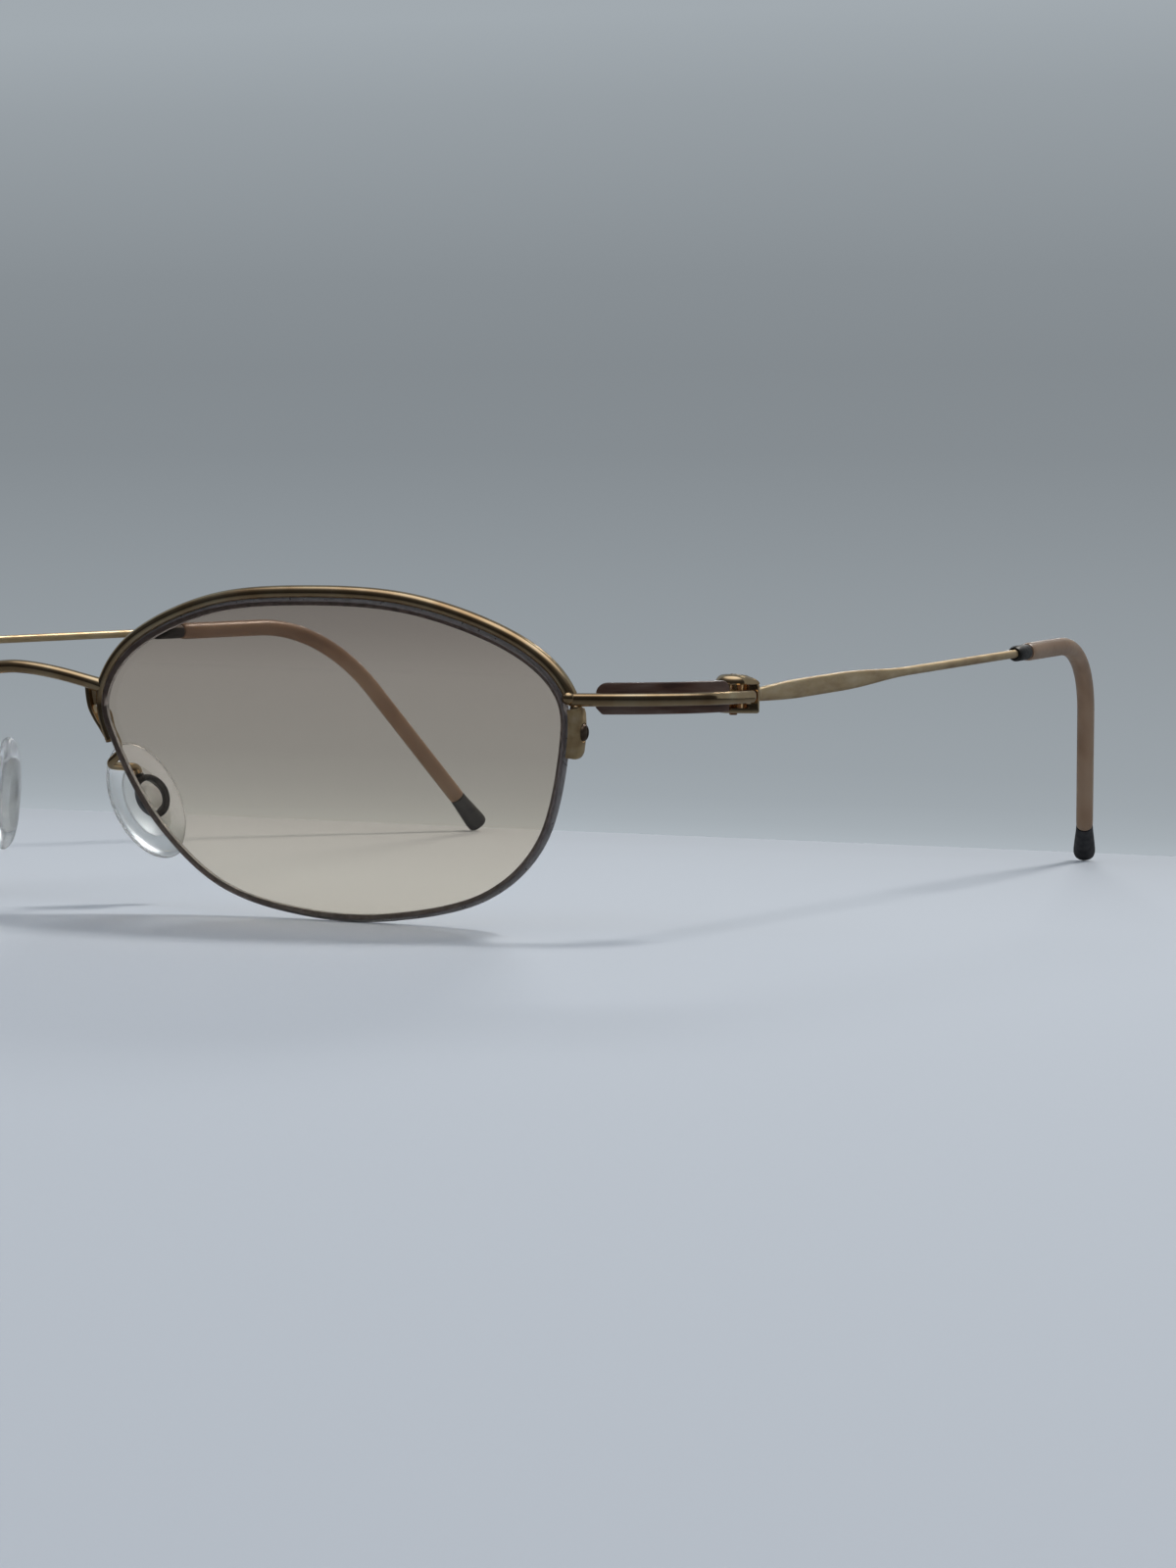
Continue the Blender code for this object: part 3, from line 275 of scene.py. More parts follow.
def make_stage():
    rim = [(FLOOR_RADIUS * math.cos(a), FLOOR_RADIUS * math.sin(a), 0.0) for a in circle_turns(FLOOR_SIDES)]
    flat_mesh("paper_floor", rim, floor_paper())
    foot, along, _ = sheet_axes()
    left = foot - along * SHEET_HALF_LENGTH
    right = foot + along * SHEET_HALF_LENGTH
    top = Vector((0.0, 0.0, SHEET_HEIGHT))
    sheet = flat_mesh("backdrop_sheet", [left, right, right + top, left + top], sheet_paper())
    sheet.visible_shadow = False


make_stage()
print("floor and backdrop sheet made")

# %% [markdown]
# ## Light
# The picture is lit from behind: a broad soft light over and behind the glasses throws a short shadow
# forward, and a low window throws a long faint one. Two area lamps, far enough away to light the table
# evenly, do both. The world stands for the room: it is soft and even for matt surfaces, and for polished
# ones it is dark at the height of the table and pale overhead, so that gold shows dark sides and bright tops.

# %% Light
ROOM_TONE = (0.42, 0.45, 0.49)
MIRRORED_BANDS = [(0.0, 0.012), (0.5, 0.016), (0.74, 0.03), (0.86, 0.12), (0.94, 0.75), (1.0, 1.0)]
MIRRORED_TINT = (1.0, 1.0, 1.03)
LAMPS = {
    "overhead_lamp": ((0.10, 0.85, 1.0), 2.2, (0.40, 0.40), 23.0, (1.0, 0.98, 0.95)),
    "window_lamp": ((-0.48, 0.98, 0.27), 2.6, (0.40, 0.20), 16.0, (0.95, 0.98, 1.0)),
}


def soft_room():
    """A world with one tone for matt surfaces, and bands by height for what polished ones mirror."""
    world = bpy.data.worlds.new("soft_room")
    world.use_nodes = True
    tree = world.node_tree
    tree.nodes.clear()
    way = node(tree, "ShaderNodeTexCoord").outputs["Generated"]
    share = spread(tree, node(tree, "ShaderNodeSeparateXYZ", Vector=way).outputs["Z"], -1.0, 1.0)
    even = node(tree, "ShaderNodeBackground", Color=(*ROOM_TONE, 1.0))
    bands = colour_ramp(tree, share, tones(MIRRORED_BANDS, MIRRORED_TINT))
    mirrored = node(tree, "ShaderNodeBackground", Color=bands)
    mirrored_instead(tree, even.outputs[0], mirrored.outputs[0], node(tree, "ShaderNodeOutputWorld"))
    return world


def light_scene():
    bpy.context.scene.world = soft_room()
    for name, (way, distance, size, power, colour) in LAMPS.items():
        data = bpy.data.lights.new(name, "AREA")
        data.shape = "RECTANGLE"
        data.size, data.size_y = size
        data.energy = power
        data.color = colour
        way = Vector(way).normalized()
        turn = way.to_track_quat("Z", "Y").to_matrix().to_4x4()
        add(name, data).matrix_world = Matrix.Translation(way * distance) @ turn


light_scene()
bpy.context.scene.view_settings.view_transform = "Standard"
print("lamps:", ", ".join(LAMPS))

# %% [markdown]
# ## Shape of the lens
# Everything on the front follows the lens edge, so the lens comes first. Its outline is a smooth closed curve
# through fifteen points, fitted to the lens size, and both of its faces are parts of large spheres. A place
# on the edge is a number that counts from point to point. The sizes are those of the CAD model.

# %% Shape of the lens
LENS_WIDTH = 0.0476
LENS_HEIGHT = 0.0280
LENS_SPACING = 0.0189
LENS_THICKNESS = 0.0017
LENS_CURVE_RADIUS = 0.150
LENS_BULGE = 0.00145
LENS_TILT = math.radians(2.7)
LENS_WRAP = math.radians(3.0)
LENS_OUTLINE = [
    (1.00, 0.12), (0.97, 0.475), (0.76, 0.755), (0.375, 0.96), (-0.06, 1.0),
    (-0.48, 0.935), (-0.835, 0.69), (-0.985, 0.36), (-0.93, 0.03), (-0.73, -0.455),
    (-0.44, -0.835), (-0.07, -0.985), (0.305, -0.985), (0.68, -0.83), (0.91, -0.47),
]
OUTLINE_SAMPLES = 16
LENS_TOP_PLACE = 4.0
EDGE_STEP = 0.02
LEVEL_TRIES = 40
UP = Vector((0.0, 0.0, 1.0))
BACKWARD = Vector((0.0, 1.0, 0.0))
STAND = Vector((0.0, -0.069271, 0.014134))


def curve_share(points, span, part):
    """Point of the smooth curve through four neighbouring points, between the middle two."""
    before, start, end, after = [Vector(points[(span + k) % len(points)]) for k in (-1, 0, 1, 2)]
    linear = (end - before) * part
    square = (before * 2.0 - start * 5.0 + end * 4.0 - after) * part ** 2
    cube = (start * 3.0 - before - end * 3.0 + after) * part ** 3
    return start + (linear + square + cube) / 2.0


def outline_share(t):
    return curve_share(LENS_OUTLINE, math.floor(t), t - math.floor(t))


def outline_box():
    """Middle and half size of the drawn outline, so that it can be fitted to the lens size."""
    samples = [outline_share(k / OUTLINE_SAMPLES) for k in range(OUTLINE_SAMPLES * len(LENS_OUTLINE))]
    low, high = [Vector([end(p[axis] for p in samples) for axis in (0, 1)]) for end in (min, max)]
    return (low + high) / 2.0, (high - low) / 2.0


OUTLINE_MIDDLE, OUTLINE_HALF = outline_box()


def lens_axes():
    """Outward, upward and forward axes of the left lens."""
    across = Vector((math.cos(LENS_WRAP), math.sin(LENS_WRAP), 0.0))
    upward = Vector((0.0, -math.sin(LENS_TILT), math.cos(LENS_TILT)))
    upward = (upward - across * upward.dot(across)).normalized()
    return across, upward, across.cross(upward)


LENS_ACROSS, LENS_UPWARD, LENS_FORWARD = lens_axes()
LENS_OUTER_EDGE = LENS_SPACING / 2.0 + LENS_WIDTH
LENS_VERTEX = Vector((LENS_SPACING / 2.0 + LENS_WIDTH / 2.0, -LENS_BULGE, 0.0))
LENS_SPHERE_CENTRE = LENS_VERTEX - LENS_FORWARD * LENS_CURVE_RADIUS


def outline_point(t):
    share = outline_share(t) - OUTLINE_MIDDLE
    return share.x / OUTLINE_HALF.x * LENS_WIDTH / 2.0, share.y / OUTLINE_HALF.y * LENS_HEIGHT / 2.0


def lens_point(u, v, depth):
    """Point of the curved lens at u outward and v upward from its middle, depth behind its front surface."""
    drop = math.sqrt(LENS_CURVE_RADIUS ** 2 - u ** 2 - v ** 2)
    arm = LENS_ACROSS * u + LENS_UPWARD * v + LENS_FORWARD * drop
    return LENS_SPHERE_CENTRE + arm * (1.0 - depth / LENS_CURVE_RADIUS)


def edge_frame(t):
    """Middle of the lens edge at t, with the directions along it, outward from it and forward."""
    steps = (0.0, EDGE_STEP, -EDGE_STEP)
    point, ahead, behind = [lens_point(*outline_point(t + d), LENS_THICKNESS / 2.0) for d in steps]
    along = (ahead - behind).normalized()
    forward = (point - LENS_SPHERE_CENTRE).normalized()
    return point, along, along.cross(forward).normalized(), forward


def edge_ring(t, profile):
    """Profile of (outward, forward) distances set on the lens edge at t."""
    point, _, outward, forward = edge_frame(t)
    return [point + outward * a + forward * b for a, b in profile]


def edge_at_level(level, start, end):
    """Place on the edge between start and end where it passes a height over the middle of the lenses."""
    rising = edge_frame(end)[0].z > edge_frame(start)[0].z
    low, high = (start, end) if rising else (end, start)
    for _ in range(LEVEL_TRIES):
        middle = (low + high) / 2.0
        if edge_frame(middle)[0].z < level:
            low = middle
        else:
            high = middle
    return (low + high) / 2.0


def places(start, end, count):
    return [start + (end - start) * k / count for k in range(count + 1)]


print("lens edge at its top, mm:", [round(c * 1000, 2) for c in edge_frame(LENS_TOP_PLACE)[0]])

# %% [markdown]
# ## Making and placing pieces
# A finished piece is a closed mesh with its faces outward, that sits at the origin with its place in its
# mesh. The left one is made, and the right one is its mirror image, whose faces are turned round again. Each
# stands for its CAD node, if it has one, and moves with its body.

# %% Making and placing pieces
SIDES = ("left", "right")
SHARP = math.radians(38.0)
WELD = 2e-7


def mesh_from_rows(rows, loop=False, closed_rows=True):
    """Faces between rings of points, with filled ends unless the rings go round in a loop."""
    bm = bmesh.new()
    made = [[bm.verts.new(point) for point in row] for row in rows]
    count = len(made[0])
    for near, far in list(zip(made, made[1:])) + ([(made[-1], made[0])] if loop else []):
        for k in range(count if closed_rows else count - 1):
            nxt = (k + 1) % count
            bm.faces.new((near[k], near[nxt], far[nxt], far[k]))
    if not loop:
        bm.faces.new(made[0])
        bm.faces.new(made[-1])
    return bm


def sealed(bm, name, material):
    """A mesh with its seams welded, its faces outward, and smooth but for its sharp edges."""
    bmesh.ops.remove_doubles(bm, verts=bm.verts, dist=WELD)
    bmesh.ops.recalc_face_normals(bm, faces=bm.faces)
    mesh = bpy.data.meshes.new(name)
    bm.to_mesh(mesh)
    bm.free()
    mesh.shade_smooth()
    mesh.set_sharp_from_angle(angle=SHARP)
    mesh.materials.append(material)
    return mesh


def skin(rows, name, material):
    """A sealed mesh over rings of points."""
    return sealed(mesh_from_rows(rows), name, material)


def gathered(*meshes):
    """One bmesh of several meshes."""
    bm = bmesh.new()
    for mesh in meshes:
        bm.from_mesh(mesh)
    return bm


def joined(name, material, *meshes):
    """Several closed shells as one mesh."""
    bm = gathered(*meshes)
    made = bpy.data.meshes.new(name)
    bm.to_mesh(made)
    bm.free()
    made.materials.append(material)
    return made


def show(name, mesh, body, nodes):
    item = add(name, mesh)
    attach(item, body)
    if nodes:
        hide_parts(*nodes)


def both_sides(stem, mesh, body, stands_for=True):
    """The left piece and its mirror image, each in place of its CAD node."""
    mirrored = mesh.copy()
    mirrored.transform(Matrix.Scale(-1.0, 4, Vector((1.0, 0.0, 0.0))))
    mirrored.flip_normals()
    for side, data in zip(SIDES, (mesh, mirrored)):
        data.transform(Matrix.Translation(STAND))
        name = f"{stem}_{side}"
        rides = body if body == "front" else f"{body}_{side}"
        show("shown_" + name, data, rides, (name,) if stands_for else ())
    print(f"{stem}: {len(mesh.polygons)} faces a side")


print("piece helpers ready")

# %% [markdown]
# ## Wire that follows a path
# Rims, bridge, arms, cords and rings are all one section drawn along a path, as wire is drawn and bent. A
# Geometry Nodes tree does that: the path carries, at each point, which way the section's first axis looks and
# how much the section swells there, and the tree turns it into a skin. Its inputs are the section, the finish
# and whether the ends are filled.

# %% Wire tree
def geometry_tree(name, **inputs):
    """A Geometry Nodes tree with a geometry input and output, and named inputs of given socket kinds."""
    tree = bpy.data.node_groups.new(name, "GeometryNodeTree")
    tree.interface.new_socket("Geometry", in_out="INPUT", socket_type="NodeSocketGeometry")
    for label, kind in inputs.items():
        tree.interface.new_socket(label, in_out="INPUT", socket_type=kind)
    tree.interface.new_socket("Geometry", in_out="OUTPUT", socket_type="NodeSocketGeometry")
    return tree, node(tree, "NodeGroupInput"), node(tree, "NodeGroupOutput")


def attribute(tree, name, kind="FLOAT_VECTOR"):
    return node(tree, "GeometryNodeInputNamedAttribute", {"data_type": kind}, Name=name).outputs["Attribute"]


def finish_tree(tree, given, result, geometry):
    """The end of each tree: real geometry, smooth, with its finish."""
    real = node(tree, "GeometryNodeRealizeInstances", Geometry=geometry)
    smooth = node(tree, "GeometryNodeSetShadeSmooth", Geometry=real.outputs["Geometry"])
    dressed = node(tree, "GeometryNodeSetMaterial", Geometry=smooth.outputs["Geometry"],
                   Material=given.outputs["Finish"])
    tree.links.new(dressed.outputs["Geometry"], result.inputs["Geometry"])
    return tree


def wire_tree():
    tree, given, result = geometry_tree(
        "wire_along_path", Section="NodeSocketObject", Finish="NodeSocketMaterial", Ends="NodeSocketBool")
    path = node(tree, "GeometryNodeMeshToCurve", Mesh=given.outputs["Geometry"])
    turned = node(tree, "GeometryNodeSetCurveNormal", {"mode": "FREE"}, Curve=path.outputs["Curve"],
                  Normal=attribute(tree, "looks"))
    section = node(tree, "GeometryNodeObjectInfo", Object=given.outputs["Section"])
    outline = node(tree, "GeometryNodeMeshToCurve", Mesh=section.outputs["Geometry"])
    drawn = node(tree, "GeometryNodeCurveToMesh", Curve=turned.outputs["Curve"],
                 Profile_Curve=outline.outputs["Curve"], Scale=attribute(tree, "swell", "FLOAT"),
                 Fill_Caps=given.outputs["Ends"])
    return finish_tree(tree, given, result, drawn.outputs["Mesh"])


WIRE_TREE = wire_tree()


def run_tree(tree, base, name, **inputs):
    """The sealed mesh that a tree makes of a base object; the modifier and the base go afterwards."""
    change = base.modifiers.new(tree.name, "NODES")
    change.node_group = tree
    for item in tree.interface.items_tree:
        if item.in_out == "INPUT" and item.name in inputs:
            change[item.identifier] = inputs[item.name]
    graph = bpy.context.evaluated_depsgraph_get()
    raw = bpy.data.meshes.new_from_object(base.evaluated_get(graph))
    base.modifiers.remove(change)
    bpy.data.objects.remove(base)
    mesh = sealed(gathered(raw), name, inputs["Finish"])
    bpy.data.meshes.remove(raw)
    return mesh


def line_object(name, points, closed, **values):
    """A mesh of edges through points, with a value at each point for each named attribute."""
    mesh = bpy.data.meshes.new(name)
    edges = [(k, k + 1) for k in range(len(points) - 1)] + ([(len(points) - 1, 0)] if closed else [])
    mesh.from_pydata(points, edges, [])
    for key, given in values.items():
        vectors = isinstance(given[0], Vector)
        layer = mesh.attributes.new(key, "FLOAT_VECTOR" if vectors else "FLOAT", "POINT")
        flat = [c for v in given for c in v] if vectors else list(given)
        layer.data.foreach_set("vector" if vectors else "value", flat)
    return add(name, mesh)


def wire(name, path, looks, section, material, swell=None, closed=False):
    """A section drawn along a path by the wire tree, as a closed mesh."""
    swell = swell or [1.0] * len(path)
    outline = line_object(name + "_section", [(a, b, 0.0) for a, b in section], True)
    base = line_object(name + "_path", path, closed, looks=looks, swell=swell)
    mesh = run_tree(WIRE_TREE, base, name, Section=outline, Finish=material, Ends=not closed)
    bpy.data.objects.remove(outline)
    return mesh


def round_section(diameter, count=20):
    return [(diameter / 2.0 * math.cos(a), diameter / 2.0 * math.sin(a)) for a in circle_turns(count)]


def soft_section(width, height, power, count=28):
    """A rectangle with rounded sides: a power of 2 is an ellipse, and a higher one is squarer."""
    points = []
    for a in circle_turns(count):
        shares = [math.copysign(abs(c) ** (2.0 / power), c) for c in (math.cos(a), math.sin(a))]
        points.append((shares[0] * width / 2.0, shares[1] * height / 2.0))
    return points


def path_looks(path, toward, closed=False):
    """At each point of a path, the part of a direction that is square to the path."""
    looks = []
    last = len(path) - 1
    for k in range(len(path)):
        ahead = path[(k + 1) % len(path)] if closed else path[min(k + 1, last)]
        behind = path[k - 1] if closed else path[max(k - 1, 0)]
        way = (ahead - behind).normalized()
        looks.append((toward - way * toward.dot(way)).normalized())
    return looks


print("wire tree inputs:", [i.name for i in WIRE_TREE.interface.items_tree if i.in_out == "INPUT"])

# %% [markdown]
# ## Finish helpers
# A real finish is never one flat colour. Each recipe starts from a shader with its fixed numbers, and lays a
# mottle of two or three near colours, an uneven roughness and a fine relief over it.

# %% Finish helpers
MIDDLE_BAND = (0.3, 0.7)
UNEVEN_DETAIL = 4.0
RELIEF_DETAIL = 2.0
RELIEF_STRENGTH = 0.6


def mottle(tree, shader, colours, scale, detail=3.0, stretch=None):
    """Blend near colours over the surface by a noise of so many grains to the metre."""
    share = spread(tree, noise(tree, object_place(tree), scale, detail, stretch), *MIDDLE_BAND)
    stops = [(k / (len(colours) - 1), colour) for k, colour in enumerate(colours)]
    tree.links.new(colour_ramp(tree, share, stops), shader.inputs["Base Color"])


def uneven(tree, shader, scale, smoothest, roughest, stretch=None):
    """Let the roughness wander between two values."""
    pattern = noise(tree, object_place(tree), scale, UNEVEN_DETAIL, stretch)
    tree.links.new(spread(tree, pattern, *MIDDLE_BAND, smoothest, roughest), shader.inputs["Roughness"])


def relief(tree, shader, scale, depth, stretch=None):
    """A fine relief, given by its grains to the metre and its depth in metres."""
    height = noise(tree, object_place(tree), scale, RELIEF_DETAIL, stretch)
    bump = node(tree, "ShaderNodeBump", Height=height, Strength=RELIEF_STRENGTH, Distance=depth)
    tree.links.new(bump.outputs["Normal"], shader.inputs["Normal"])


def finish(name, colours, grain, rough, bumps, **sockets):
    """A material from its colours and the numbers of its mottle, its roughness and its relief."""
    material, tree, shader = blank(name, **sockets)
    mottle(tree, shader, colours, *grain)
    uneven(tree, shader, *rough)
    relief(tree, shader, *bumps)
    return material


print("finish helpers ready")

# %% [markdown]
# ## Metals
# The rims and bridge are polished gold plate, bright and nearly smooth. The temples and the cord blocks are
# plated too, but years of hands have left them satin and brownish. The screws of the blocks have gone dull
# bronze. The hinge pin is copper inside the hinge, and its head has kept its gold. The pad rings and the
# collars are blackened steel.

# %% Metals
PIN_WORN = (0.0202, 0.0212)
PIN_STOPS = [
    (0.0, (0.36, 0.15, 0.06)), (0.4, (0.60, 0.31, 0.16)), (0.75, (0.60, 0.43, 0.24)), (1.0, (0.74, 0.58, 0.36)),
]
PIN_SHARES = (0.7, 0.3)
BRUSHED = (1.0, 0.2, 1.0)


def coppery_pin():
    """Copper below and gold above, by height, with a speckle between them."""
    material, tree, shader = blank("coppery_pin", Metallic=1.0)
    speckle = spread(tree, noise(tree, object_place(tree), 1500.0), *MIDDLE_BAND, 0.0, PIN_SHARES[1])
    height = height_share(tree, *PIN_WORN, PIN_SHARES[0])
    share = node(tree, "ShaderNodeMath", {"operation": "ADD"}, (height, speckle))
    tree.links.new(colour_ramp(tree, share.outputs[0], PIN_STOPS), shader.inputs["Base Color"])
    uneven(tree, shader, 2600.0, 0.14, 0.30)
    relief(tree, shader, 9000.0, 0.000004)
    return material


GOLD = finish(
    "polished_gold", [(0.61, 0.40, 0.20), (0.78, 0.565, 0.32), (0.89, 0.72, 0.46)],
    (330.0, 4.0), (1400.0, 0.055, 0.13), (5200.0, 0.000003),
    Metallic=1.0, Coat_Weight=0.7, Coat_Roughness=0.06)
SATIN_GOLD = finish(
    "satin_gold", [(0.40, 0.265, 0.135), (0.52, 0.38, 0.205), (0.61, 0.475, 0.295)],
    (900.0, 3.0, (1.0, 0.12, 1.0)), (2400.0, 0.34, 0.5, BRUSHED), (4200.0, 0.000003, BRUSHED), Metallic=0.70)
BRONZE = finish(
    "dull_bronze", [(0.10, 0.065, 0.045), (0.20, 0.145, 0.105)],
    (1200.0,), (2200.0, 0.28, 0.42), (5200.0, 0.000004), Metallic=0.9)
DARK_STEEL = finish(
    "blackened_steel", [(0.022, 0.021, 0.020), (0.055, 0.050, 0.045)],
    (1300.0,), (2200.0, 0.34, 0.52), (7000.0, 0.000006), Metallic=0.85)
COPPER = coppery_pin()
print("metals:", [m.name for m in (GOLD, SATIN_GOLD, BRONZE, COPPER, DARK_STEEL)])

# %% [markdown]
# ## Lacquer, rubber, amber and nylon
# The strip at the hinge has a dark red-brown lacquer, streaked along its length. The end caps are matt
# rubber. The sleeves over the tips are amber plastic that lets some light through, so that the wire inside
# shows as a paler core, and the cords are nylon, which is cloudy rather than clear.

# %% Lacquer, rubber, amber and nylon
STREAKED = (0.25, 0.25, 1.6)
LACQUER = finish(
    "brown_lacquer", [(0.032, 0.013, 0.009), (0.085, 0.040, 0.026), (0.13, 0.085, 0.065)],
    (900.0, 5.0, STREAKED), (1800.0, 0.28, 0.45, STREAKED), (3800.0, 0.000006, STREAKED),
    Coat_Weight=0.5, Coat_Roughness=0.15)
RUBBER = finish(
    "cap_rubber", [(0.024, 0.024, 0.026), (0.050, 0.048, 0.050)],
    (1500.0,), (1900.0, 0.42, 0.62), (4200.0, 0.00001), Specular_IOR_Level=0.4)
AMBER = finish(
    "amber_plastic", [(0.30, 0.18, 0.105), (0.40, 0.26, 0.165), (0.46, 0.325, 0.22)],
    (240.0, 2.0, (1.0, 0.35, 0.6)), (1300.0, 0.30, 0.42), (2400.0, 0.000006),
    Transmission_Weight=0.35, IOR=1.48)
NYLON = finish(
    "cloudy_nylon", [(0.24, 0.22, 0.215), (0.40, 0.38, 0.375)],
    (1100.0,), (1900.0, 0.25, 0.45), (3300.0, 0.000005), Transmission_Weight=0.45, IOR=1.53)
print("plastics:", [m.name for m in (LACQUER, RUBBER, AMBER, NYLON)])

# %% [markdown]
# ## Lens tint and clear silicone
# The lens is a grey-brown tint that is deeper at the top and fades downward. It is real glass to the light:
# rays bend in and out, and each of the two faces takes its share of colour. The ground edge is frosted, and its
# colour is the brown of the glass darkened with painted shade. The nose pads are clear silicone round a cloudy
# core plate.

# %% Lens tint and clear silicone
TINT_HEIGHTS = (0.004, 0.0285)
TINT_STOPS = [
    (0.0, (0.93, 0.83, 0.68)), (0.45, (0.77, 0.66, 0.55)), (0.72, (0.775, 0.65, 0.545)),
    (0.88, (0.62, 0.51, 0.43)), (1.0, (0.55, 0.45, 0.38)),
]


def tinted_lens():
    material, tree, shader = blank("tinted_lens", Transmission_Weight=1.0, IOR=1.50)
    tint = colour_ramp(tree, height_share(tree, *TINT_HEIGHTS), TINT_STOPS)
    tree.links.new(tint, shader.inputs["Base Color"])
    uneven(tree, shader, 160.0, 0.0, 0.02)
    return material


LENS_GLASS = tinted_lens()
# Painted shade: the frosted edge takes the brown of the glass and is darkened further with painted shade.
SHADED_LENS_EDGE = finish(
    "ground_edge_painted_shade", [(0.12, 0.095, 0.090), (0.22, 0.185, 0.18)],
    (1500.0,), (2300.0, 0.35, 0.6), (6000.0, 0.000008), Transmission_Weight=0.55, IOR=1.50)
SILICONE = finish(
    "clear_silicone", [(0.93, 0.94, 0.93), (0.985, 0.985, 0.98)],
    (380.0,), (900.0, 0.17, 0.26), (1500.0, 0.000002), Transmission_Weight=0.97, IOR=1.28)
PAD_CORE = finish(
    "cloudy_core", [(0.90, 0.90, 0.88), (0.96, 0.96, 0.94)],
    (700.0,), (1300.0, 0.30, 0.42), (2500.0, 0.000002), Transmission_Weight=0.85, IOR=1.32)
print("clear finishes:", [m.name for m in (LENS_GLASS, SHADED_LENS_EDGE, SILICONE, PAD_CORE)])

# %% [markdown]
# ## Lenses
# Each lens is a thin curved disc with a groove round its ground edge. Rows of points run from the middle of
# the front over the edge to the middle of the back, and each row is skinned to the next. The edge faces get
# the frosted finish with its painted shade, and the two curved faces the tinted one.

# %% Lenses
GAP = 0.00025
FIT = 0.00015
CORD_DIAMETER = 0.0006
GROOVE_HALF = CORD_DIAMETER / 2.0 + FIT
GROOVE_TAPER = 0.7
LENS_STATIONS = 180
LENS_RINGS = (0.12, 0.3, 0.5, 0.68, 0.83, 0.93, 0.985)
EDGE_BREAK = 0.00012


def doubled(half):
    """A profile and its mirror image over the middle, as one run of points."""
    return half + [(a, -b) for a, b in reversed(half)]


def edge_profile():
    half = LENS_THICKNESS / 2.0
    floor = GROOVE_HALF * GROOVE_TAPER
    rounded = [(-EDGE_BREAK, half), (0.0, half - EDGE_BREAK)]
    return doubled(rounded + [(0.0, GROOVE_HALF), (-GROOVE_HALF, floor)])


def lens_mesh():
    """Rows over the edge of the lens, as an open band whose two ends are closed on the middle."""
    profile = edge_profile()
    rows = []
    for k in range(LENS_STATIONS):
        t = len(LENS_OUTLINE) * k / LENS_STATIONS
        u, v = outline_point(t)
        front = [lens_point(u * s, v * s, 0.0) for s in LENS_RINGS]
        back = [lens_point(u * s, v * s, LENS_THICKNESS) for s in reversed(LENS_RINGS)]
        rows.append(front + edge_ring(t, profile) + back)
    bm = mesh_from_rows(rows, loop=True, closed_rows=False)
    first, per_ring = len(LENS_RINGS), len(rows[0])
    for place, face in enumerate(bm.faces):
        face.material_index = int(first <= place % (per_ring - 1) < first + len(profile) - 1)
    for depth, place in ((0.0, 0), (LENS_THICKNESS, per_ring - 1)):
        pole = bm.verts.new(lens_point(0.0, 0.0, depth))
        bm.verts.ensure_lookup_table()
        ring = [bm.verts[k * per_ring + place] for k in range(LENS_STATIONS)]
        for near, far in zip(ring, ring[1:] + ring[:1]):
            bm.faces.new((pole, near, far))
    return bm


def make_lens():
    mesh = sealed(lens_mesh(), "lens", LENS_GLASS)
    mesh.materials.append(SHADED_LENS_EDGE)
    both_sides("lens", mesh, "front")


make_lens()

# %% [markdown]
# ## Half rims
# The rim is a drawn gold wire, D-shaped outside, with a channel inside for the nylon liner. It starts at the
# hinge side, goes over the top, and ends in a thinner tab beside the nose. It follows a path, so the wire
# tree draws it, with a little less swell along the tab.

# %% Half rims
RIM_HEIGHT = 0.0011
RIM_DEPTH = 0.0013
RIM_WIDEST = 0.4
RIM_INNER_WIDTH = 0.85
LIP_BREAK = (0.00012, 0.00004)
LIP_SOFTNESS = 0.00008
LINER_HEIGHT = 0.0006
LINER_THICKNESS = 0.0004
LINER_POWER = 5.0
TAB_HEIGHT = 0.0009
TAB_BOTTOM = 0.0013
BRIDGE_LEVEL = 0.0056
BRIDGE_DIAMETER = 0.0012
ENDPIECE_HEIGHT = 0.00115
ENDPIECE_ROOT_LEVEL = 0.0058
OUTER_SPAN = (-1.0, 2.0)
NOSE_SPAN = (5.5, 9.0)
WIRE_HALF = ENDPIECE_HEIGHT / 2.0
ENDPIECE_PLACE = edge_at_level(ENDPIECE_ROOT_LEVEL, *OUTER_SPAN)
BRIDGE_PLACE = edge_at_level(BRIDGE_LEVEL, *NOSE_SPAN)
TAB_TOP_PLACE = edge_at_level(BRIDGE_LEVEL - BRIDGE_DIAMETER, *NOSE_SPAN)
TAB_END = edge_at_level(TAB_BOTTOM, *NOSE_SPAN)
RIM_STATIONS = 110
RIM_ARC_STEPS = 15
QUARTER_TURN = math.pi / 2.0


def rim_section():
    """Outline of the rim wire: a round back, softened lips and the channel for the liner."""
    outer = GAP + RIM_HEIGHT
    middle = GAP + RIM_HEIGHT * RIM_WIDEST
    half = RIM_DEPTH / 2.0
    channel = LINER_THICKNESS / 2.0 + FIT
    lip = half * RIM_INNER_WIDTH
    turns = places(-QUARTER_TURN, QUARTER_TURN, RIM_ARC_STEPS)
    arc = [(middle + (outer - middle) * math.cos(a), half * math.sin(a)) for a in turns]
    lips = [(GAP + LIP_BREAK[0], lip + LIP_BREAK[1]), (GAP, lip - LIP_SOFTNESS)]
    return arc + doubled(lips + [(GAP, channel), (LINER_HEIGHT / 2.0 + FIT, channel)])


def edge_wire(name, stops, section, material, swell=None):
    """A section drawn along the lens edge through some places."""
    path, _, looks, _ = [list(column) for column in zip(*[edge_frame(t) for t in stops])]
    return wire(name, path, looks, section, material, swell)


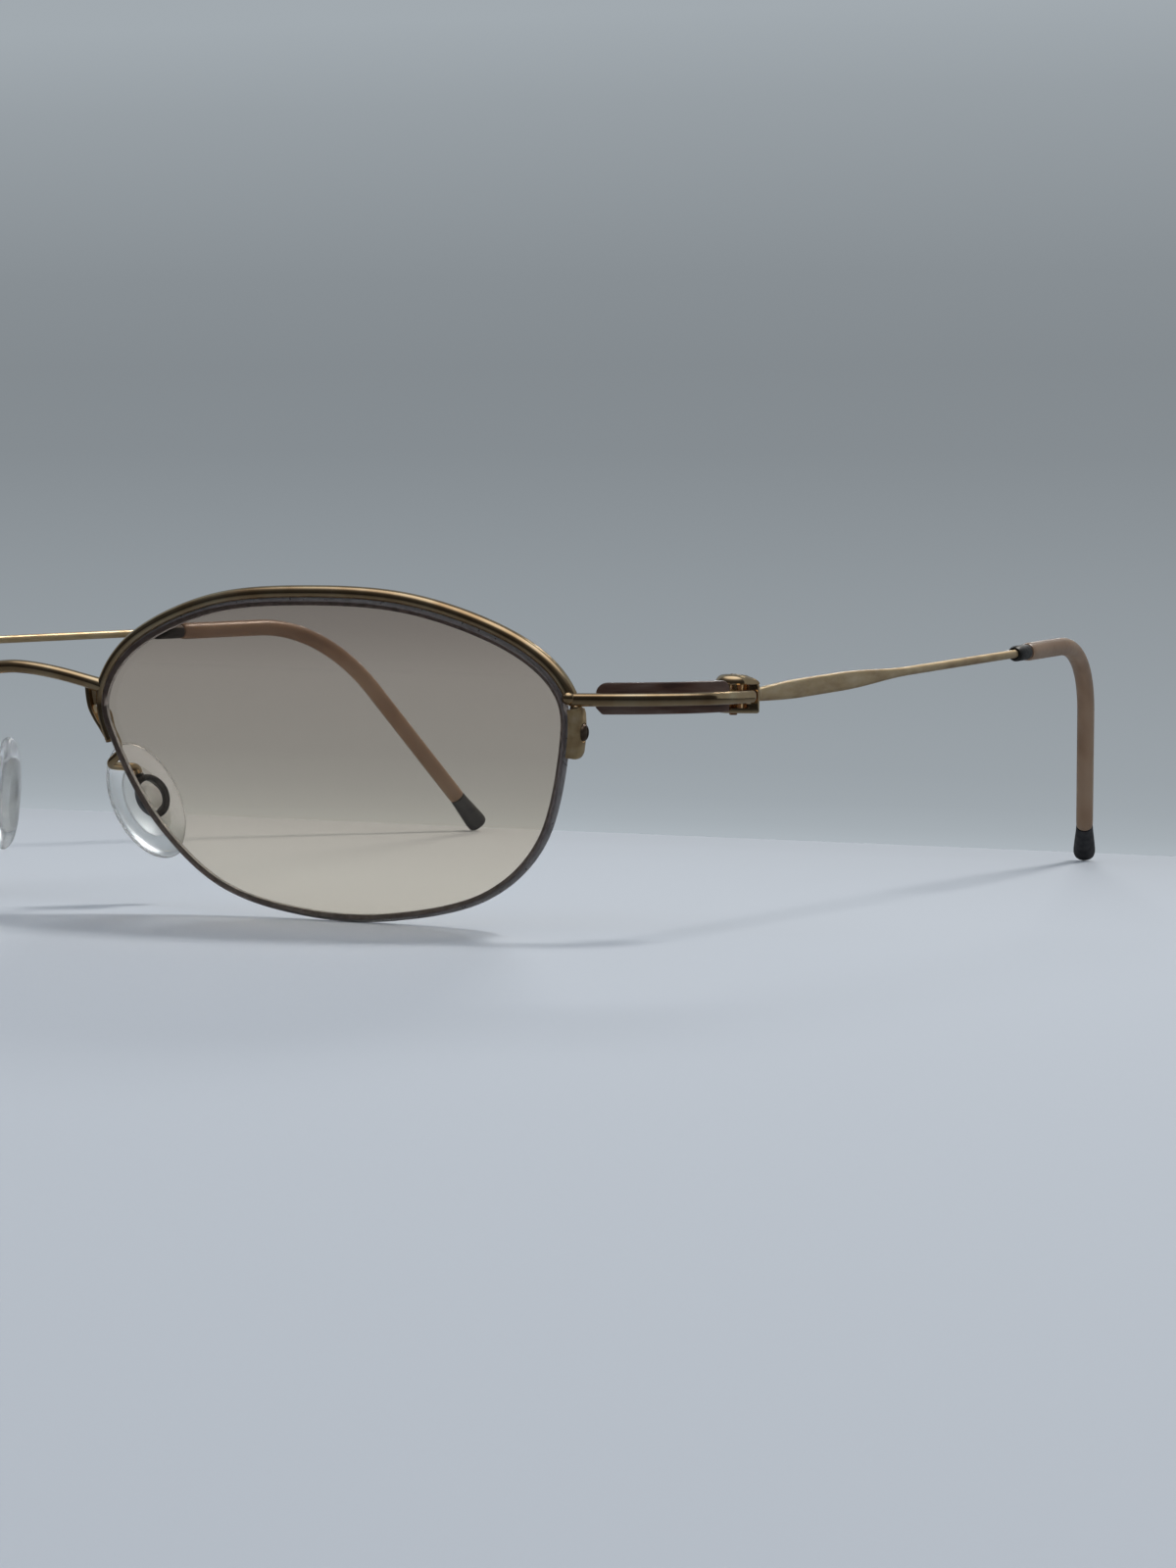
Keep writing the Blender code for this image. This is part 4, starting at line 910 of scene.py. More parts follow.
def make_rim():
    stops = places(ENDPIECE_PLACE, TAB_END, RIM_STATIONS)
    thin = TAB_HEIGHT / RIM_HEIGHT
    swell = []
    for t in stops:
        share = min(1.0, max(0.0, (t - BRIDGE_PLACE) / (TAB_TOP_PLACE - BRIDGE_PLACE)))
        swell.append(1.0 + (thin - 1.0) * share)
    both_sides("rim", edge_wire("rim", stops, rim_section(), GOLD, swell), "front")


make_rim()

# %% [markdown]
# ## Liner and cord
# A strip of nylon lines the channel of the rim, so that gold never bears on glass. Under the rim, a round
# nylon cord runs on in the same groove from the nose tab to the block at the hinge side.

# %% Liner and cord
BLOCK_TOP_LEVEL = ENDPIECE_ROOT_LEVEL - WIRE_HALF - GAP
LINER_END = edge_at_level(BRIDGE_LEVEL - BRIDGE_DIAMETER / 2.0, *NOSE_SPAN)
CORD_TOP = edge_at_level(BRIDGE_LEVEL - BRIDGE_DIAMETER - GAP, *NOSE_SPAN)
CORD_END = edge_at_level(BLOCK_TOP_LEVEL - CORD_DIAMETER / 2.0, *OUTER_SPAN)
CORD_STATIONS = 150


def make_liner_and_cord():
    stops = places(ENDPIECE_PLACE, LINER_END, RIM_STATIONS)
    section = soft_section(LINER_HEIGHT, LINER_THICKNESS, LINER_POWER)
    both_sides("rim_liner", edge_wire("rim_liner", stops, section, NYLON), "front")
    stops = places(CORD_TOP, len(LENS_OUTLINE) + CORD_END, CORD_STATIONS)
    cord = edge_wire("lens_cord", stops, round_section(CORD_DIAMETER), NYLON)
    both_sides("lens_cord", cord, "front")


make_liner_and_cord()

# %% [markdown]
# ## Solder beads
# Where two wires meet, a drop of solder fills the corner. The drops are small round beads, so a tree puts a
# ball on each point that it is given, at that point's size. The balls sink into the wires that they join.

# %% Bead tree
BEAD_SIDES, BEAD_RINGS = 20, 12


def copies_tree(name, pattern, **inputs):
    """A tree that puts a copy of a pattern on each point, along its direction and at its size."""
    tree, given, result = geometry_tree(name, **inputs, Finish="NodeSocketMaterial")
    turn = node(tree, "FunctionNodeAxesToRotation", {"primary_axis": "Z", "secondary_axis": "X"},
                (attribute(tree, "along"), attribute(tree, "looks")))
    placed = node(tree, "GeometryNodeInstanceOnPoints", Points=given.outputs["Geometry"],
                  Instance=pattern(tree, given), Rotation=turn.outputs["Rotation"],
                  Scale=attribute(tree, "size"))
    return finish_tree(tree, given, result, placed.outputs["Instances"])


def ball(tree, given):
    sphere = node(tree, "GeometryNodeMeshUVSphere", Segments=BEAD_SIDES, Rings=BEAD_RINGS, Radius=1.0)
    return sphere.outputs["Mesh"]


BEAD_TREE = copies_tree("beads_on_points", ball)


def beads(name, drops, material):
    """Balls of (place, direction, side direction, half sizes), stretched along their direction."""
    spots, along, looks, sizes = [list(column) for column in zip(*drops)]
    sizes = [Vector(size) for size in sizes]
    base = line_object(name + "_points", spots, False, along=along, looks=looks, size=sizes)
    return run_tree(BEAD_TREE, base, name, Finish=material)


print("bead tree inputs:", [i.name for i in BEAD_TREE.interface.items_tree if i.in_out == "INPUT"])

# %% [markdown]
# ## Bridge
# One arched wire joins the rims over the nose. It is drawn by the wire tree, and flares a little where the
# solder takes it. Under each of its ends a short strut runs down to the tab of the rim and stiffens it, and a
# thin web fills the corner between the two.

# %% Bridge
BRIDGE_RISE = 0.0016
BRIDGE_BOW = 0.00131
BRIDGE_ARCH = 1.7
BRIDGE_FLARE = 0.16
BRIDGE_FLARE_START = 0.72
BRIDGE_STATIONS = 48
BRIDGE_SIDES = 28
STRUT_STEPS = [
    (0.0057, 0.00250), (0.0050, 0.00225), (0.0041, 0.00185), (0.0033, 0.00140), (0.0025, 0.00105),
    (0.0015, 0.00085),
]
STRUT_SECTION = (0.0011, 0.0006, 3.0)
STRUT_THINNING = 0.35
WEB_STEPS = [(0.0058, 0.00165), (0.0050, 0.00155), (0.0042, 0.00135)]
WEB_SECTION = (0.0006, 0.0014, 3.0)
WEB_THINNING = 0.6
BRACE_STEPS = 6


def bridge_path():
    point, _, outward, _ = edge_frame(BRIDGE_PLACE)
    end = point + outward * (GAP + RIM_HEIGHT / 2.0)
    path = []
    for share in places(-1.0, 1.0, BRIDGE_STATIONS):
        lift = 1.0 - abs(share) ** BRIDGE_ARCH
        path.append(Vector((end.x * share, end.y - BRIDGE_BOW * lift, end.z + BRIDGE_RISE * lift)))
    return path


def smooth_route(points, steps):
    """Points on a smooth curve through a route, steps to each stretch."""
    padded = [points[0] * 2.0 - points[1]] + points + [points[-1] * 2.0 - points[-2]]
    route = []
    for k in range(len(points) - 1):
        route += [curve_share(padded[k:k + 4], 1, j / steps) for j in range(steps)]
    return route + [points[-1]]


def brace(name, steps, section, thinning):
    """A thinning wire beside the nose end of the lens, through levels and distances off its edge."""
    points = []
    for level, outset in steps:
        point, _, outward, _ = edge_frame(edge_at_level(level, *NOSE_SPAN))
        points.append(point + outward * outset)
    route = smooth_route(points, BRACE_STEPS)
    swell = [1.0 - thinning * k / (len(route) - 1) for k in range(len(route))]
    return wire(name, route, path_looks(route, BACKWARD), soft_section(*section), GOLD, swell)


def make_bridge():
    path = bridge_path()
    swell = []
    for place in path:
        beyond = max(0.0, abs(place.x) / path[-1].x - BRIDGE_FLARE_START)
        swell.append(1.0 + BRIDGE_FLARE * (beyond / (1.0 - BRIDGE_FLARE_START)) ** 2)
    section = round_section(BRIDGE_DIAMETER, BRIDGE_SIDES)
    mesh = wire("bridge", path, path_looks(path, BACKWARD), section, GOLD, swell)
    mesh.transform(Matrix.Translation(STAND))
    show("shown_bridge", mesh, "front", ("bridge",))
    strut = brace("strut", STRUT_STEPS, STRUT_SECTION, STRUT_THINNING)
    web = brace("web", WEB_STEPS, WEB_SECTION, WEB_THINNING)
    both_sides("bridge_strut", joined("bridge_strut", GOLD, strut, web), "front", False)


make_bridge()

# %% [markdown]
# ## Endpieces
# From the outer end of each rim a squarish wire sweeps back round the corner, and its rounded tip stops just
# before the temple. The hinge is on its inner side: a flat eye round the pin, soldered to the wire. Beads of
# solder join the wire to the rim and to the block below, and one of them rounds its front end.

# %% Endpieces
HINGE_OUTSET = 0.0109
HINGE_SETBACK = 0.0118
HINGE_LEVEL = 0.0063
ENDPIECE_WIDTH = 0.00120
ENDPIECE_POWER = 2.8
ENDPIECE_CORNER_SETBACK = 0.0046
ENDPIECE_CORNER_INSET = 0.0008
ENDPIECE_REACH = 0.0025
BEND_STEPS, REACH_STEPS = 60, 24
PIN_INSET = 0.0018
PIN_ALONG = 0.0021
PIN_DIAMETER = 0.0007
EYE_DIAMETER = 0.0019
EYE_TONGUE = (0.0012, 0.0017)
EYE_TONGUE_ROUNDING = 0.0003
TEMPLE_SETBACK = 0.0034
TEMPLE_INSET = 0.00035
TEMPLE_LIFT = 0.00017
BEND_END = Vector((LENS_OUTER_EDGE + HINGE_OUTSET, HINGE_SETBACK, HINGE_LEVEL))
REAR = Vector((ENDPIECE_CORNER_INSET, HINGE_SETBACK - ENDPIECE_CORNER_SETBACK, 0.0)).normalized()
PIN = BEND_END + REAR * PIN_ALONG + UP.cross(REAR) * PIN_INSET
TEMPLE_FRONT = BEND_END + REAR * TEMPLE_SETBACK + UP.cross(REAR) * TEMPLE_INSET + UP * TEMPLE_LIFT
BORE_RADIUS = PIN_DIAMETER / 2.0 + FIT
EDGE_SOFTNESS = 0.00014
SOFT_SHARE = 0.3
NOSE_ROUNDING = 0.0005
SMALLEST_END = 0.04
HULL_SIDES = 72
ROOT_BEADS = [
    ((0.0003, 0.0009, 0.0), "along", (0.00050, 0.00046, 0.00055)),
    ((-0.00055, 0.0010, 0.0), "outward", (0.00050, 0.00055, 0.00050)),
    ((0.0, 0.00060, 0.00028), "outward", (0.00062, 0.00060, 0.00062)),
]
NECK_BEAD = ((0.0, 0.0009, 0.0), "along", (0.00055, 0.00055, 0.00045))


def endpiece_route(share):
    """Point and direction on the endpiece wire: at the lens (0), after its bend (1) and at its tip (2)."""
    point, _, outward, _ = edge_frame(ENDPIECE_PLACE)
    root = point + outward * GAP
    level = (root.z + BEND_END.z) / 2.0
    corner = Vector((BEND_END.x - ENDPIECE_CORNER_INSET, ENDPIECE_CORNER_SETBACK, level))
    bent = min(share, 1.0)
    rest = 1.0 - bent
    place = root * rest ** 2 + corner * 2.0 * rest * bent + BEND_END * bent ** 2
    direction = ((corner - root) * rest + (BEND_END - corner) * bent).normalized()
    return place + direction * ENDPIECE_REACH * (share - bent), direction


def turned(name, start, axis, profile, material, count=40):
    """A turned piece about an axis: profile is (distance along, radius)."""
    first = axis.orthogonal().normalized()
    second = axis.cross(first)
    spokes = [first * math.cos(a) + second * math.sin(a) for a in circle_turns(count)]
    return skin([[start + axis * along + spoke * radius for spoke in spokes] for along, radius in profile],
                name, material)


def drill(name, start, axis, radius, reach):
    """A round cutter from a start along an axis."""
    return turned(name, start, axis, [(0.0, radius), (reach, radius)], GOLD)


def hull_ring(circles, level):
    """Plan outline drawn tight round some circles, each a centre and a radius, at a level over the pin."""
    points = []
    for turn in circle_turns(HULL_SIDES):
        way = Vector((math.cos(turn), math.sin(turn), 0.0))
        centre, radius = max(circles, key=lambda circle: circle[0].dot(way) + circle[1])
        points.append(Vector((centre.x, centre.y, PIN.z + level)) + way * radius)
    return points


def cut(mesh, cutters, name, material):
    """Cut closed shells from a mesh with exact Booleans."""
    body = add(name, mesh)
    tools = [add(name + "_tool", cutter) for cutter in cutters]
    for tool in tools:
        change = body.modifiers.new("Cut", "BOOLEAN")
        change.operation = "DIFFERENCE"
        change.solver = "EXACT"
        change.object = tool
    graph = bpy.context.evaluated_depsgraph_get()
    raw = bpy.data.meshes.new_from_object(body.evaluated_get(graph))
    for item in [body] + tools:
        bpy.data.objects.remove(item)
    return sealed(gathered(raw), name, material)


def rounded_end(distance, radius):
    """Share of the full size at a distance from a rounded end."""
    left = 1.0 - min(1.0, max(0.0, distance / radius))
    return math.sqrt(max(SMALLEST_END, 1.0 - left ** 2))


def eye_ring(level, inset):
    circles = [(PIN, EYE_DIAMETER / 2.0 - inset)]
    circles += [(BEND_END + REAR * along, EYE_TONGUE_ROUNDING) for along in EYE_TONGUE]
    return hull_ring(circles, level)


def endpiece_eye():
    """The flat eye with softened edges and the pin's bore."""
    half, soft = WIRE_HALF, EDGE_SOFTNESS
    levels = [(-half, soft), (soft * SOFT_SHARE - half, soft * SOFT_SHARE), (soft - half, 0.0)]
    levels += [(-level, inset) for level, inset in reversed(levels)]
    eye = skin([eye_ring(level, inset) for level, inset in levels], "endpiece_eye", GOLD)
    bore = drill("eye_bore", PIN - UP * half * 2.0, UP, BORE_RADIUS, half * 4.0)
    return cut(eye, [bore], "endpiece_eye", GOLD)


def edge_drop(place, bead):
    """A bead near a place on the lens edge, from its offset (along, outward, forward), its lie and sizes."""
    point, along, outward, forward = edge_frame(place)
    offset, lie, sizes = bead
    spot = point + along * offset[0] + outward * offset[1] + forward * offset[2]
    return spot, along if lie == "along" else outward, forward, sizes


def make_endpiece():
    shares = places(0.0, 1.0, BEND_STEPS) + places(1.0, 2.0, REACH_STEPS)[1:]
    route = [endpiece_route(share)[0] for share in shares]
    swell = []
    for point in route:
        swell.append(min(rounded_end((point - end).length, NOSE_ROUNDING) for end in (route[0], route[-1])))
    section = soft_section(ENDPIECE_WIDTH, ENDPIECE_HEIGHT, ENDPIECE_POWER)
    rod = wire("endpiece_rod", route, path_looks(route, UP.cross(BACKWARD)), section, GOLD, swell)
    drops = [edge_drop(ENDPIECE_PLACE, bead) for bead in ROOT_BEADS]
    drops.append(edge_drop(edge_at_level(BLOCK_TOP_LEVEL, *OUTER_SPAN), NECK_BEAD))
    solder = beads("endpiece_solder", drops, GOLD)
    both_sides("endpiece", joined("endpiece", GOLD, rod, endpiece_eye(), solder), "front")


make_endpiece()

# %% [markdown]
# ## Hinge strips
# A brown lacquered strip lies on the inner side of the endpiece, and shows over and under the gold wire. Its
# height changes along its length, so it is skinned from rings: both upper corners are quarter rounds, and
# the lower front one is cut at a slant.

# %% Hinge strips
STRIP_HEIGHT = 0.00275
STRIP_RAISE = 0.00009
STRIP_THICKNESS = 0.0007
STRIP_CORNER = 0.0010
STRIP_CHAMFER = 0.0006
STRIP_START = 0.115
STRIP_END = 1.13
STRIP_STATIONS = 64
STRIP_SOFTNESS = 0.00016
STRIP_THIN_CORNERS = 2.2


def soft_rectangle(centre, axis_a, axis_b, size_a, size_b, radius, steps=4):
    """Points round a rectangle whose corners are quarter circles."""
    points = []
    for corner in range(4):
        sign_a = 1.0 if corner in (0, 3) else -1.0
        sign_b = 1.0 if corner < 2 else -1.0
        for k in range(steps + 1):
            a = QUARTER_TURN * (corner + k / steps)
            across = sign_a * (size_a / 2.0 - radius) + radius * math.cos(a)
            upright = sign_b * (size_b / 2.0 - radius) + radius * math.sin(a)
            points.append(centre + axis_a * across + axis_b * upright)
    return points


def corner_drop(distance, radius):
    """How far a quarter-round corner has dropped at a distance from the end."""
    inside = max(0.0, radius - distance)
    return radius - math.sqrt(radius ** 2 - inside ** 2)


def make_strip():
    inset = ENDPIECE_WIDTH / 2.0 + GAP + STRIP_THICKNESS / 2.0
    spots = []
    for k in range(STRIP_STATIONS + 1):
        eased = (1.0 - math.cos(math.pi * k / STRIP_STATIONS)) / 2.0
        place, direction = endpiece_route(STRIP_START + (STRIP_END - STRIP_START) * eased)
        inner = -direction.cross(UP).normalized()
        spots.append((place + inner * inset, inner))
    rows = []
    for place, inner in spots:
        from_front, from_rear = [(place - spots[end][0]).length for end in (0, -1)]
        near_end = min(from_front, from_rear)
        top = STRIP_HEIGHT / 2.0 - corner_drop(near_end, STRIP_CORNER)
        bottom = STRIP_HEIGHT / 2.0 - max(0.0, STRIP_CHAMFER - from_front)
        centre = place + UP * (STRIP_RAISE + (top - bottom) / 2.0)
        thin = STRIP_THICKNESS - 2.0 * corner_drop(near_end, STRIP_SOFTNESS)
        corner = min(STRIP_SOFTNESS, thin / STRIP_THIN_CORNERS)
        rows.append(soft_rectangle(centre, inner, UP, thin, top + bottom, corner))
    both_sides("endpiece_strip", skin(rows, "strip", LACQUER), "front")


make_strip()

# %% [markdown]
# ## Cord blocks
# Under each endpiece a small gold block clamps the end of the cord in the lens groove. It is skinned from
# sections set along the lens edge, with a channel for the cord inside, softened edges, and a shallow round
# recess that a Boolean cuts for the screw.

# %% Cord blocks
BLOCK_HEIGHT = 0.0040
BLOCK_WIDTH = 0.0013
BLOCK_DEPTH = 0.0014
BLOCK_FORWARD = -0.0001
BLOCK_CORNER = 0.0003
BLOCK_SCREW_LEVEL = 0.0022
BLOCK_SCREW_HEAD = 0.0015
BLOCK_RECESS = 0.00012
BLOCK_ARC_STEPS = 4
RECESS_REACH = 0.001
BLOCK_LEVELS = [
    (0.0, 0.00042), (0.03, 0.00026), (0.08, 0.00012), (0.16, 0.00002), (0.3, 0.0), (0.45, 0.0), (0.55, 0.0),
    (0.7, 0.0), (0.9, 0.0), (0.97, 0.00005), (1.0, 0.00014),
]
CORD_CHANNEL = CORD_DIAMETER / 2.0 + FIT
BLOCK_LOW = BLOCK_TOP_LEVEL - BLOCK_HEIGHT
CLAMP_PLACE = edge_at_level(BLOCK_LOW + BLOCK_SCREW_LEVEL, *OUTER_SPAN)


def block_section(trim):
    """Section of the block with rounded outer corners, its outer side trimmed by a length."""
    outer = GAP + BLOCK_WIDTH - trim
    back, front = BLOCK_FORWARD - BLOCK_DEPTH / 2.0, BLOCK_FORWARD + BLOCK_DEPTH / 2.0
    turns = places(0.0, QUARTER_TURN, BLOCK_ARC_STEPS)
    corner = [(1.0 - math.sin(a), 1.0 - math.cos(a)) for a in turns]
    low = [(outer - BLOCK_CORNER * across, back + BLOCK_CORNER * along) for across, along in corner]
    high = [(a, front + back - b) for a, b in reversed(low)]
    channel = doubled([(GAP, CORD_CHANNEL), (CORD_CHANNEL, CORD_CHANNEL)])
    return [(GAP, back)] + low + high + [(GAP, front)] + channel


def make_block():
    rows = []
    for share, trim in BLOCK_LEVELS:
        t = edge_at_level(BLOCK_LOW + BLOCK_HEIGHT * share, *OUTER_SPAN)
        rows.append(edge_ring(t, block_section(trim)))
    point, _, outward, _ = edge_frame(CLAMP_PLACE)
    floor = point + outward * (GAP + BLOCK_WIDTH) - outward * BLOCK_RECESS
    recess = drill("recess", floor, outward, BLOCK_SCREW_HEAD / 2.0 + BLOCK_RECESS, RECESS_REACH)
    block = cut(skin(rows, "block", SATIN_GOLD), [recess], "block", SATIN_GOLD)
    both_sides("cord_block", block, "front")


make_block()

# %% [markdown]
# ## Screws
# All four screws are slotted dome heads on a shank. One head and shank of unit size is turned and slotted,
# and a Geometry Nodes tree puts a copy on each given point, along its direction and at its size.

# %% Screw tree
HEAD_DOME = [(0.0, 1.0), (0.18, 0.99), (0.42, 0.93), (0.66, 0.80), (0.86, 0.58), (0.97, 0.30)]
HEAD_WIDTH = 0.96
HEAD_STEP = 0.03
SHANK_TIP = (0.1, 0.85)
SHANK_TOP = 0.02
SLOT_SHARE = 0.17
SLOT_DEPTH = 0.30
SLOT_REACH = 1.5
SLOT_TALL = 1.0
SLOT_CORNER = 0.01
SCREW_SIDES = 32
BLOCK_SCREW_SINK = 0.0001
BLOCK_SCREW_SIZES = (BLOCK_SCREW_HEAD, 0.0007, 0.0010, 0.00042)
SLOT_SLANT = 0.6


def unit_screw(shank, length, rise):
    """A screw with a head of radius 1 whose seat is at the origin, looking along +Z."""
    profile = [(0.0, shank * SHANK_TIP[1]), (SHANK_TIP[0], shank), (length - SHANK_TOP, shank)]
    profile.append((length, HEAD_WIDTH))
    profile += [(length + HEAD_STEP + rise * high, width) for high, width in HEAD_DOME]
    body = turned("screw", Vector((0.0, 0.0, -length)), UP, profile, GOLD, SCREW_SIDES)
    middle = Vector((0.0, 0.0, rise + HEAD_STEP - SLOT_DEPTH * rise + SLOT_TALL / 2.0))
    corners = soft_rectangle(middle, BACKWARD, UP, SLOT_SHARE * 2.0, SLOT_TALL, SLOT_CORNER, 1)
    slot = skin([[p + Vector((x, 0.0, 0.0)) for p in corners] for x in (-SLOT_REACH, SLOT_REACH)], "slot", GOLD)
    return cut(body, [slot], "screw", GOLD)


def given_screw(tree, given):
    return node(tree, "GeometryNodeObjectInfo", Object=given.outputs["Screw"]).outputs["Geometry"]


SCREW_TREE = copies_tree("screws_on_points", given_screw, Screw="NodeSocketObject")


def screw(name, seat, along, slot_way, sizes, material):
    """A screw whose head sits at seat: sizes are its real head, shank, length and dome height."""
    head, shank, length, rise = sizes
    radius = head / 2.0
    pattern = add(name + "_pattern", unit_screw(shank / head, length / radius, rise / radius))
    size = [Vector((radius, radius, radius))]
    base = line_object(name + "_point", [seat], False, along=[along], looks=[slot_way], size=size)
    mesh = run_tree(SCREW_TREE, base, name, Screw=pattern, Finish=material)
    bpy.data.objects.remove(pattern)
    return mesh


def make_block_screw():
    point, along, outward, _ = edge_frame(CLAMP_PLACE)
    seat = point + outward * (GAP + BLOCK_WIDTH - BLOCK_SCREW_SINK)
    slot_way = (along + UP * SLOT_SLANT).normalized()
    mesh = screw("block_screw", seat, outward, slot_way, BLOCK_SCREW_SIZES, BRONZE)
    both_sides("cord_block_screw", mesh, "front")


make_block_screw()

# %% [markdown]
# ## Hinge forks and their screws
# Each temple begins with a fork: two lugs that hold the eye of the endpiece between them, and a wall round
# its back that joins them. The upper lug is a polished dome that slopes to the temple, the lower one is flat.
# The solid is skinned from plans at several levels, and Booleans cut the space for the eye, the bore and the
# seat of the screw's head.

# %% Hinge forks
TEMPLE_SPLAY = math.radians(10.06)
TEMPLE_RISE = math.radians(2.12)
TIP_LEAN = math.radians(13.0)
UPPER_LUG_DIAMETER = 0.0032
LOWER_LUG_DIAMETER = 0.0026
COLUMN_DEPTH = 0.00045
COLUMN_WIDTH = 0.0008
COLUMN_CORNER = 0.0002
HINGE_SCREW_HEAD = 0.0015
UPPER_LUG_LOW = WIRE_HALF + 0.0005
LUG_TOP = UPPER_LUG_LOW + 0.00055
LOWER_LUG_TOP = WIRE_HALF + 0.0004
LUG_BOTTOM = LOWER_LUG_TOP + 0.00045
WALL_DIAMETER = EYE_DIAMETER + 2.0 * (GAP + 0.00025)
LUG_ROUNDING = 0.00022
DOME_RISE = 0.00030
DOME_EDGE = (0.00007, 0.00006)
DOME_FLAT_MARGIN = 0.00012
DOME_DRAWN = 0.9
LUG_EDGE_STEPS, DOME_STEPS, SPACE_STEPS = 5, 9, 48
HEAD_CLEARANCE = 0.00005
HEAD_SINK = 0.00002
HINGE_SCREW_SIZES = (HINGE_SCREW_HEAD, PIN_DIAMETER, LUG_TOP + LUG_BOTTOM + FIT, 0.00036)


def temple_axes():
    """Plan direction of the open temple, its direction along the wire, and the tip's bending direction."""
    plan = Vector((-math.sin(TEMPLE_SPLAY), math.cos(TEMPLE_SPLAY), 0.0))
    inward = UP.cross(plan)
    straight = plan * math.cos(TEMPLE_RISE) + UP * math.sin(TEMPLE_RISE)
    droop = plan * math.sin(TEMPLE_RISE) - UP * math.cos(TEMPLE_RISE)
    return plan, straight, droop * math.cos(TIP_LEAN) + inward * math.sin(TIP_LEAN)


TEMPLE_PLAN, TEMPLE_DIRECTION, TIP_DIRECTION = temple_axes()
TEMPLE_SIDE = TEMPLE_PLAN.cross(UP)


def lug_ring(level, diameter, inset, drawn=0.0):
    """Plan of the fork at a level: round about the pin, and out to the temple unless drawn in to the pin."""
    across = TEMPLE_SIDE * (COLUMN_WIDTH / 2.0 - COLUMN_CORNER)
    rear = TEMPLE_FRONT - TEMPLE_PLAN * COLUMN_CORNER
    front = TEMPLE_FRONT - TEMPLE_PLAN * (COLUMN_DEPTH - COLUMN_CORNER)
    corner = max(COLUMN_CORNER / 4.0, COLUMN_CORNER - inset)
    corners = [(centre.lerp(PIN, drawn), corner) for centre in (rear - across, rear + across, front + across)]
    return hull_ring([(PIN, diameter / 2.0 - inset)] + corners, level)


def lug_space():
    """Plan of the space between the lugs: round behind the eye, and open in front of the column."""
    radius = EYE_DIAMETER / 2.0 + GAP
    ahead = (TEMPLE_FRONT - PIN).dot(TEMPLE_PLAN) - COLUMN_DEPTH
    first = math.asin(ahead / radius)
    turns = places(first, math.pi - first, SPACE_STEPS)
    outline = [(radius * math.cos(a), radius * math.sin(a)) for a in turns]
    reach = 2.0 * UPPER_LUG_DIAMETER
    outline += [(-reach, ahead), (-reach, -reach), (reach, -reach), (reach, ahead)]
    return [TEMPLE_SIDE * across + TEMPLE_PLAN * along for across, along in outline]


def lug_levels():
    """Rings of the fork from below: level, lug diameter, inset, and how far it is drawn in to the pin."""
    soft = LUG_ROUNDING
    rings = []
    for a in reversed(places(0.0, QUARTER_TURN, LUG_EDGE_STEPS)):
        level = -LUG_BOTTOM + soft * (1.0 - math.sin(a))
        rings.append((level, LOWER_LUG_DIAMETER, soft * (1.0 - math.cos(a))))
    rings.append((-LOWER_LUG_TOP, LOWER_LUG_DIAMETER, 0.0))
    rings += [(level, WALL_DIAMETER, 0.0) for level in (FIT - LOWER_LUG_TOP, UPPER_LUG_LOW - FIT)]
    rings.append((UPPER_LUG_LOW, UPPER_LUG_DIAMETER, DOME_EDGE[1]))
    low = UPPER_LUG_LOW + DOME_EDGE[0]
    rise = LUG_TOP + DOME_RISE - low
    fall = (UPPER_LUG_DIAMETER - HINGE_SCREW_HEAD) / 2.0 - DOME_FLAT_MARGIN
    for a in places(0.0, QUARTER_TURN, DOME_STEPS):
        level, share = low + rise * math.sin(a), 1.0 - math.cos(a)
        rings.append((level, UPPER_LUG_DIAMETER, fall * share, DOME_DRAWN * share))
    return rings


def make_fork():
    levels = (PIN - UP * LOWER_LUG_TOP, PIN + UP * UPPER_LUG_LOW)
    space = skin([[level + point for point in lug_space()] for level in levels], "fork_space", GOLD)
    reach = LUG_TOP * 3.0
    bore = drill("bore", PIN - UP * reach / 2.0, UP, BORE_RADIUS, reach)
    screw_seat = PIN + UP * (LUG_TOP - HEAD_SINK)
    seat = drill("seat", screw_seat, UP, HINGE_SCREW_HEAD / 2.0 + HEAD_CLEARANCE, reach)
    fork = skin([lug_ring(*ring) for ring in lug_levels()], "fork", GOLD)
    both_sides("hinge_fork", cut(fork, [space, bore, seat], "fork", GOLD), "temple")
    mesh = screw("hinge_screw", screw_seat, UP, TEMPLE_PLAN, HINGE_SCREW_SIZES, COPPER)
    both_sides("hinge_screw", mesh, "temple")


make_fork()

# %% [markdown]
# ## Temples
# Behind the hinge the temple wire is hammered into a slim upright leaf, which is stiff up and down and
# springs sideways round the head, and then runs on as round wire through the tip to its end. The section goes
# from a soft rectangle to a round, so the temple is skinned from many rings that get rounder along the way.

# %% Temples
TEMPLE_STRAIGHT = 0.0957
TIP_BEND_RADIUS = 0.0220
TIP_BEND = math.radians(51.0)
WIRE_DIAMETER = 0.00085
LEAF_THICKNESS = 0.00075
LEAF_HEIGHT = 0.0017
LEAF_START_HEIGHT = 0.0011
LEAF_WIDEST = 0.0124
LEAF_FLAT = 0.0103
LEAF_TAPER = 0.0309
LEAF_END = 0.0432
LEAF_POWER, WIRE_POWER = 4.2, 2.0
CAP_LENGTH = 0.0045
CAP_DIAMETER = 0.0024
CAP_END_WIDTH = 0.8
LEAF_STEPS = 90
TIP_STEPS = 90
TEMPLE_SIDES = 24


